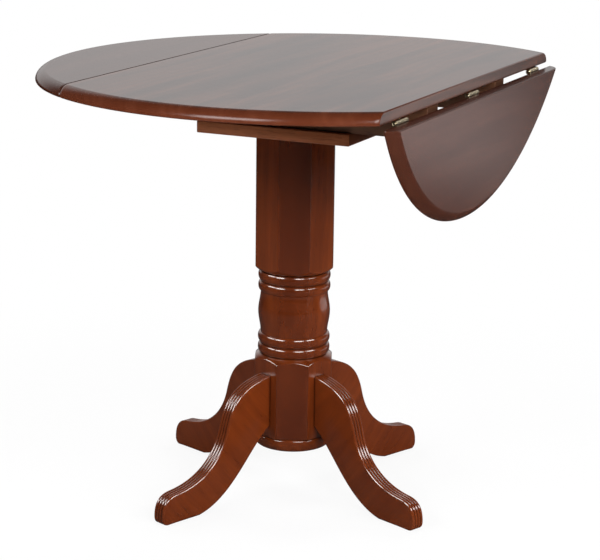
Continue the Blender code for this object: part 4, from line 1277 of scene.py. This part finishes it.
# %% [markdown]
# ## Bent, pressed and driven metal
#
# Hinge plates, slides and guides start as flat strip that is bent, so each is an outline drawn out along one
# direction, with a true radius at every bend. Screw heads are turned, then struck with a cross for the
# driver. Both could be taken from a parts library; a few lines keep them in the table's own sizes.

# %% Bent outlines
ON_EDGE = Matrix(((1, 0, 0, 0), (0, 0, 1, 0), (0, 1, 0, 0), (0, 0, 0, 1)))
ON_END = Matrix(((0, 0, 1, 0), (1, 0, 0, 0), (0, 1, 0, 0), (0, 0, 0, 1)))
CORNER_SEGMENTS = 5
UPRIGHT = 0.9


def filleted(corners, steps=5):
    """Outline through (x, y, radius), each corner rounded to its radius."""
    points = []
    for i, (x, y, radius) in enumerate(corners):
        here = Vector((x, y))
        back = (Vector(corners[i - 1][:2]) - here).normalized()
        on = (Vector(corners[(i + 1) % len(corners)][:2]) - here).normalized()
        if not radius:
            points.append(here)
            continue
        half = back.angle(on) / 2
        middle = here + (back + on).normalized() * radius / sin(half)
        spoke = here + back * radius / tan(half) - middle
        sweep = copysign(pi - 2 * half, on.cross(back))
        points += [middle + Matrix.Rotation(sweep * k / steps, 2) @ spoke for k in range(steps + 1)]
    return points


def drawn_out(outline, low, high, place=Matrix()):
    """Solid of a flat outline drawn out along its Z."""
    bm = bmesh.new()
    skin_rings(bm, [[Vector((point.x, point.y, z)) for point in outline] for z in (low, high)], place)
    return solid(bm, "drawn_out")


def rounded_corners(mesh, picked, radius):
    """Rounds the upright edges that a test of their two ends picks."""
    bm = bmesh.new()
    bm.from_mesh(mesh)
    edges = []
    for edge in bm.edges:
        a, b = (end.co for end in edge.verts)
        if picked(a) and picked(b) and abs((a - b).normalized().z) > UPRIGHT:
            edges.append(edge)
    bmesh.ops.bevel(bm, geom=edges, offset=radius, segments=CORNER_SEGMENTS, affect="EDGES", profile=0.5)
    return solid(bm, "rounded")


print("bent outlines ready")

# %% Screw heads
SCREW_SINK = 0.0004
SCREW_SIDES = 24
CROSS_ARM = 0.62
CROSS_HALF = 0.15
DOME_CROSS = 0.7


def dome(radius, rise, steps=6):
    """Profile of a rounded head from its face up."""
    return [(radius * sin(a), rise * (1 - cos(a))) for a in quarter(steps)[1:]]


def crossed(profile, radius, depth, place=Matrix()):
    """Turned screw, face down at Z = 0, with a cross struck into its face."""
    arm, half = CROSS_ARM * radius, CROSS_HALF * radius
    cross = [(arm, half), (half, half), (half, arm), (-half, arm), (-half, half), (-arm, half)]
    outline = [Vector(point) for point in cross] + [-Vector(point) for point in cross]
    struck = drawn_out(outline, -CUT_MARGIN, depth)
    mesh = combine(lathe(profile, SCREW_SIDES, "screw"), struck, "DIFFERENCE")
    mesh.transform(place)
    return mesh


def dome_screw(radius, rise, x, y, face):
    """Rounded screw head on the lower face of a plate."""
    head = dome(radius, rise) + [(radius, rise + SCREW_SINK)]
    return crossed(head, radius, DOME_CROSS * rise, Matrix.Translation((x, y, face - rise)))


def united(body, pieces):
    """Body with pieces welded on."""
    for piece in pieces:
        body = combine(body, piece, "UNION")
    return body


print("screw heads ready")

# %% [markdown]
# ## Hinges
#
# Three brass hinges hold each leaf. The edge of every plate is rolled round the pin, so a knuckle is a curl
# with a seam, not a plain tube. One outline of that curl, drawn out along the pin, has the seam by itself.
# The centre board's plate has the outer thirds and the leaf's plate the middle one.

# %% Hinge plates
HINGE_LENGTH = 0.050
PLATE_REACH = 0.032
PLATE_THICKNESS = 0.0022
PLATE_CORNER = 0.004
KNUCKLE_RADIUS = TOP_LOW.z - PIN_Z - FIT_GAP
KNUCKLE_BORE = KNUCKLE_RADIUS - PLATE_THICKNESS
KNUCKLE_GAP = 0.0004
CURL_LEAD = 3 * KNUCKLE_GAP
CURL_END = radians(384)
HINGE_SCREW = Vector((0.021, 0.015))
HINGE_HEAD_RADIUS = 0.0032
HINGE_HEAD_RISE = 0.0011


def curl_outline(side, steps=30):
    """Section of a strip that comes in level and curls once round the pin."""
    turns = [pi / 2 + (CURL_END - pi / 2) * i / steps for i in range(steps + 1)]
    reach = KNUCKLE_RADIUS + CURL_LEAD
    outer = [(KNUCKLE_RADIUS * cos(a), KNUCKLE_RADIUS * sin(a)) for a in turns]
    inner = [(KNUCKLE_BORE * cos(a), KNUCKLE_BORE * sin(a)) for a in reversed(turns)]
    points = [(reach, KNUCKLE_RADIUS)] + outer + inner + [(reach, KNUCKLE_BORE)]
    return [Vector((side * x, z)) for x, z in points]


def hinge_plate(side):
    """Plate of the centre board (-1) or of the leaf (+1), measured from the middle of the pin."""
    half, third = HINGE_LENGTH / 2, HINGE_LENGTH / 6
    inner, outer = side * (KNUCKLE_RADIUS + KNUCKLE_GAP), side * PLATE_REACH
    corners = [(inner, -half, 0), (outer, -half, PLATE_CORNER),
               (outer, half, PLATE_CORNER), (inner, half, 0)]
    plate = drawn_out(filleted(corners), KNUCKLE_BORE, KNUCKLE_RADIUS)
    gap = KNUCKLE_GAP / 2
    spans = [(gap - third, third - gap)] if side > 0 else [(-half, -third - gap), (third + gap, half)]
    curls = [drawn_out(curl_outline(side), low, high, ON_EDGE) for low, high in spans]
    screws = [dome_screw(HINGE_HEAD_RADIUS, HINGE_HEAD_RISE, side * HINGE_SCREW.x, y, KNUCKLE_BORE)
              for y in (-HINGE_SCREW.y, HINGE_SCREW.y)]
    return united(plate, curls + screws)


fixed_plate, leaf_plate = hinge_plate(-1), hinge_plate(1)
print("hinge plates, knuckles", round(2000 * KNUCKLE_RADIUS, 1), "mm thick")

# %% Hinges
HINGE_CORNER_INSET = 0.090
PIN_HEAD = 0.001
PIN_SIDES = 28
hinge_y = sqrt(TOP_RADIUS ** 2 - HINGE_LINE_X ** 2) - HINGE_CORNER_INSET
HINGE_ROWS = {"near": -hinge_y, "middle": 0.0, "far": hinge_y}


def hinge_pin(steps=5):
    """Pin with rounded ends."""
    radius, half = KNUCKLE_BORE - FIT_GAP, HINGE_LENGTH / 2
    lower = [(radius * sin(a), -half - PIN_HEAD * cos(a)) for a in quarter(steps)[1:]]
    upper = [(r, -z) for r, z in reversed(lower)]
    return lathe(lower + upper, PIN_SIDES, "pin", Matrix.Rotation(pi / 2, 4, "X"))


pin = hinge_pin()
for side, turn in SIDES.items():
    pin_line = half_places[side] @ Matrix.Translation((HINGE_LINE_X, 0, PIN_Z))
    for row, y in HINGE_ROWS.items():
        along = Matrix.Translation((0, y * round(cos(turn)), 0))
        name = f"{side}_{row}_hinge"
        dress(f"{name}_pin", pin.copy(), pin_line @ along, "brass", "rod")
        dress(f"{name}_fixed_plate", fixed_plate.copy(), pin_line @ along, "brass", "rolled")
        dress(f"{name}_leaf_plate", leaf_plate.copy(), leaf_places[side] @ along, "brass", "rolled")
print(len(SIDES) * len(HINGE_ROWS), "hinges")

# %% [markdown]
# ## Pull-out slides and their guides
#
# Under each joint two flat steel bars pull out to carry the raised leaf. A lip at the inner end stops them
# at a pressed zinc guide. The bar is bent from strip, and the guide is a strap with two screwed ears, so both
# are outlines with bend radii. Corners that fingers reach are rounded, as a press leaves them.

# %% Slide bar
SLIDE_WIDTH = 0.025
SLIDE_THICKNESS = 0.004
SLIDE_CLEARANCE = 0.0004
SLIDE_LIP = 0.012
SLIDE_INNER_X = 0.035
SLIDE_SETBACK = 0.010
SLIDE_TIP_X = HINGE_LINE_X - SLIDE_SETBACK
SLIDE_TIP_ROUND = 0.006
SLIDE_BEND = 0.002
slide_top = TOP_LOW.z - SLIDE_CLEARANCE
slide_foot = slide_top - SLIDE_THICKNESS


def slide_bar():
    """Flat bar with a bent lip and a rounded tip."""
    stop, lip, bend = SLIDE_INNER_X + SLIDE_THICKNESS, slide_top - SLIDE_LIP, SLIDE_BEND
    corners = [(SLIDE_INNER_X, lip, bend / 2), (stop, lip, bend / 2), (stop, slide_foot, bend),
               (SLIDE_TIP_X, slide_foot, 0), (SLIDE_TIP_X, slide_top, 0),
               (SLIDE_INNER_X, slide_top, bend + SLIDE_THICKNESS)]
    bar = drawn_out(filleted(corners), -SLIDE_WIDTH / 2, SLIDE_WIDTH / 2, ON_EDGE)
    return rounded_corners(bar, lambda point: abs(point.x - SLIDE_TIP_X) < FIT_GAP, SLIDE_TIP_ROUND)


bar = slide_bar()
print("slide", round(SLIDE_TIP_X - SLIDE_INNER_X, 4), "m long")

# %% Slides and guides
GUIDE_SETBACK = 0.076
GUIDE_END_X = HINGE_LINE_X - GUIDE_SETBACK
GUIDE_LENGTH = 0.030
GUIDE_STRAP = 0.002
GUIDE_EAR = 0.016
GUIDE_EAR_ROUND = 0.004
GUIDE_BEND = 0.001
GUIDE_HEAD_RADIUS = 0.0038
GUIDE_HEAD_RISE = 0.0014
slot_half = SLIDE_WIDTH / 2 + SLIDE_CLEARANCE
guide_half = slot_half + GUIDE_STRAP + GUIDE_EAR


def slide_guide():
    """Strap with a channel for the bar and two screwed ears."""
    top, floor_z = TOP_LOW.z - FIT_GAP, slide_foot - SLIDE_CLEARANCE
    ear, channel, wall = top - GUIDE_STRAP, floor_z - GUIDE_STRAP, slot_half + GUIDE_STRAP
    outer = GUIDE_BEND + GUIDE_STRAP
    half = [(slot_half, floor_z, GUIDE_BEND), (slot_half, top, outer), (guide_half, top, 0),
            (guide_half, ear, 0), (wall, ear, GUIDE_BEND), (wall, channel, outer)]
    outline = filleted(half + [(-y, z, radius) for y, z, radius in reversed(half)])
    strap = drawn_out(outline, GUIDE_END_X - GUIDE_LENGTH, GUIDE_END_X, ON_END)
    strap = rounded_corners(strap, lambda point: abs(abs(point.y) - guide_half) < FIT_GAP, GUIDE_EAR_ROUND)
    x = GUIDE_END_X - GUIDE_LENGTH / 2
    screws = [dome_screw(GUIDE_HEAD_RADIUS, GUIDE_HEAD_RISE, x, y, ear)
              for y in (GUIDE_EAR / 2 - guide_half, guide_half - GUIDE_EAR / 2)]
    return united(strap, screws)


strap = slide_guide()
for side in SIDES:
    for row in ROWS:
        name = f"{side}_{row}_slide"
        place = Matrix.Translation((0, middle_of(name)[1], 0)) @ half_places[side]
        dress(name, bar.copy(), place, "steel", "bar")
        dress(f"{name}_guide", strap.copy(), place, "zinc", "strap")
print(len(SIDES) * len(ROWS), "slides with a guide each")

# %% [markdown]
# ## Screws, rod and nuts
#
# Screws hold the battens and the board, and one threaded rod clamps disc, column and board together. Thread
# could be faked with a bump; at the two ends it shows from below, so its radius follows a helix. The eight
# leg bolts lie inside the wood: their solids are right as they are and only get the plating.

# %% Screws
SHANK = 0.0025
POINT_LENGTH = 3 * SHANK
POINT_RADIUS = SHANK / 5
PAN_RADIUS, PAN_HEIGHT, PAN_CROSS = 0.0048, 0.003, 0.6
FLAT_RADIUS, FLAT_HEIGHT, FLAT_CROSS = 0.005, 0.0028, 0.5


def wood_screw(node):
    """Screw of a batten (pan head) or of the board (flat head), as long as its solid."""
    low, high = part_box(node)
    length = high.z - low.z
    shank = [(SHANK, length - POINT_LENGTH), (POINT_RADIUS, length)]
    if "batten" in node:
        head = dome(PAN_RADIUS, PAN_HEIGHT / 2) + [(PAN_RADIUS, PAN_HEIGHT), (SHANK, PAN_HEIGHT)]
        mesh = crossed(head + shank, PAN_RADIUS, PAN_CROSS * PAN_HEIGHT)
    else:
        head = [(FLAT_RADIUS - FIT_GAP, 0), (FLAT_RADIUS, FIT_GAP), (SHANK, FLAT_HEIGHT)]
        mesh = crossed(head + shank, FLAT_RADIUS, FLAT_CROSS * FLAT_HEIGHT)
    x, y, _ = middle_of(node)
    dress(node, mesh, Matrix.Translation((x, y, low.z)), "zinc", "screw")


for row in ROWS:
    for end in SIDES:
        wood_screw(f"{row}_{end}_batten_screw")
        wood_screw(f"{row}_{end}_board_screw")
print(4 * len(ROWS), "screws")

# %% Washers and nuts
WASHER_RADIUS = 0.0125
WASHER_EASE = 0.0003
WASHER_SIDES = 48
BORE_SIDES = 32
NUT_CORNER = 0.0094
NUT_CHAMFER = radians(30)


def washer(thickness):
    """Flat ring with eased edges."""
    bm = bmesh.new()
    eased = WASHER_RADIUS - WASHER_EASE
    profile = [(ROD_HOLE, 0), (eased, 0), (WASHER_RADIUS, WASHER_EASE),
               (WASHER_RADIUS, thickness - WASHER_EASE), (eased, thickness), (ROD_HOLE, thickness)]
    skin_rings(bm, [circle(radius, z, WASHER_SIDES) for radius, z in profile], hollow=True)
    return solid(bm, "washer")


def nut(height):
    """Hexagon with turned chamfers and a bore."""
    flat, clear = NUT_CORNER * cos(pi / 6), NUT_CORNER + FIT_GAP
    fall = (clear - flat) * tan(NUT_CHAMFER)
    bm = bmesh.new()
    skin_rings(bm, [circle(NUT_CORNER, z, 6) for z in (0, height)])
    profile = [(flat, 0), (clear, fall), (clear, height - fall), (flat, height)]
    chamfers = lathe(profile, WASHER_SIDES, "chamfers")
    bore = lathe([(ROD_HOLE, -CUT_MARGIN), (ROD_HOLE, height + CUT_MARGIN)], BORE_SIDES, "bore")
    return combine(combine(solid(bm, "hexagon"), chamfers, "INTERSECT"), bore, "DIFFERENCE")


for node, shape in (("tie_rod_upper_washer", washer), ("tie_rod_lower_washer", washer),
                    ("tie_rod_upper_nut", nut), ("tie_rod_lower_nut", nut)):
    low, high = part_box(node)
    place = PEDESTAL_PLACE @ Matrix.Translation((0, 0, low.z))
    dress(node, shape(high.z - low.z), place, "zinc", shape.__name__)
print("2 washers and 2 nuts")

# %% Tie rod and bolts
rod_low, rod_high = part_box("tie_rod")
ROD_RADIUS = 0.005
ROD_SIDES = 24
THREAD_PITCH = 0.0015
THREAD_DEPTH = 0.0008
THREAD_LENGTH = 0.036
ROWS_A_TURN = 6


def thread_ring(z):
    """Circle whose radius dips along a helix."""
    points = []
    for point in circle(1.0, 0.0, ROD_SIDES):
        phase = (z / THREAD_PITCH - atan2(point.y, point.x) / (2 * pi)) % 1.0
        points.append(point * (ROD_RADIUS - THREAD_DEPTH * abs(2 * phase - 1)) + Vector((0, 0, z)))
    return points


def tie_rod():
    """Rod with a thread at both ends."""
    length = rod_high.z - rod_low.z
    step = THREAD_PITCH / ROWS_A_TURN
    lower = [step * i for i in range(2, int(THREAD_LENGTH / step))]
    levels = lower + [length - z for z in reversed(lower)]
    tips = [circle(ROD_RADIUS - 2 * THREAD_DEPTH, z, ROD_SIDES) for z in (0, length)]
    bm = bmesh.new()
    skin_rings(bm, [tips[0]] + [thread_ring(z) for z in levels] + [tips[1]])
    return solid(bm, "tie_rod")


dress("tie_rod", tie_rod(), PEDESTAL_PLACE @ Matrix.Translation((0, 0, rod_low.z)), "zinc", "thread")
bolts = [name for name in frame["nodes"] if name.endswith("_bolt")]
for name in bolts:
    for place in frame["nodes"][name].material_slots:
        place.material = finishes["zinc"]
print("rod and", len(bolts), "plated bolts")

# %% [markdown]
# ## Measuring the dressed table
#
# Looks must not change the size of a thing. The box of the plain solids was measured at the start, so the
# dressed table is measured in the same way and both are written down. Comparing pictures would show only a
# large slip; two boxes show a tenth of a millimetre.

# %% Measure the model against its box
dressed_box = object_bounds()
for label, (low, high) in (("plain", cad_box), ("dressed", dressed_box)):
    print("box of the", label, "table:", [round(h - l, 4) for l, h in zip(low, high)])
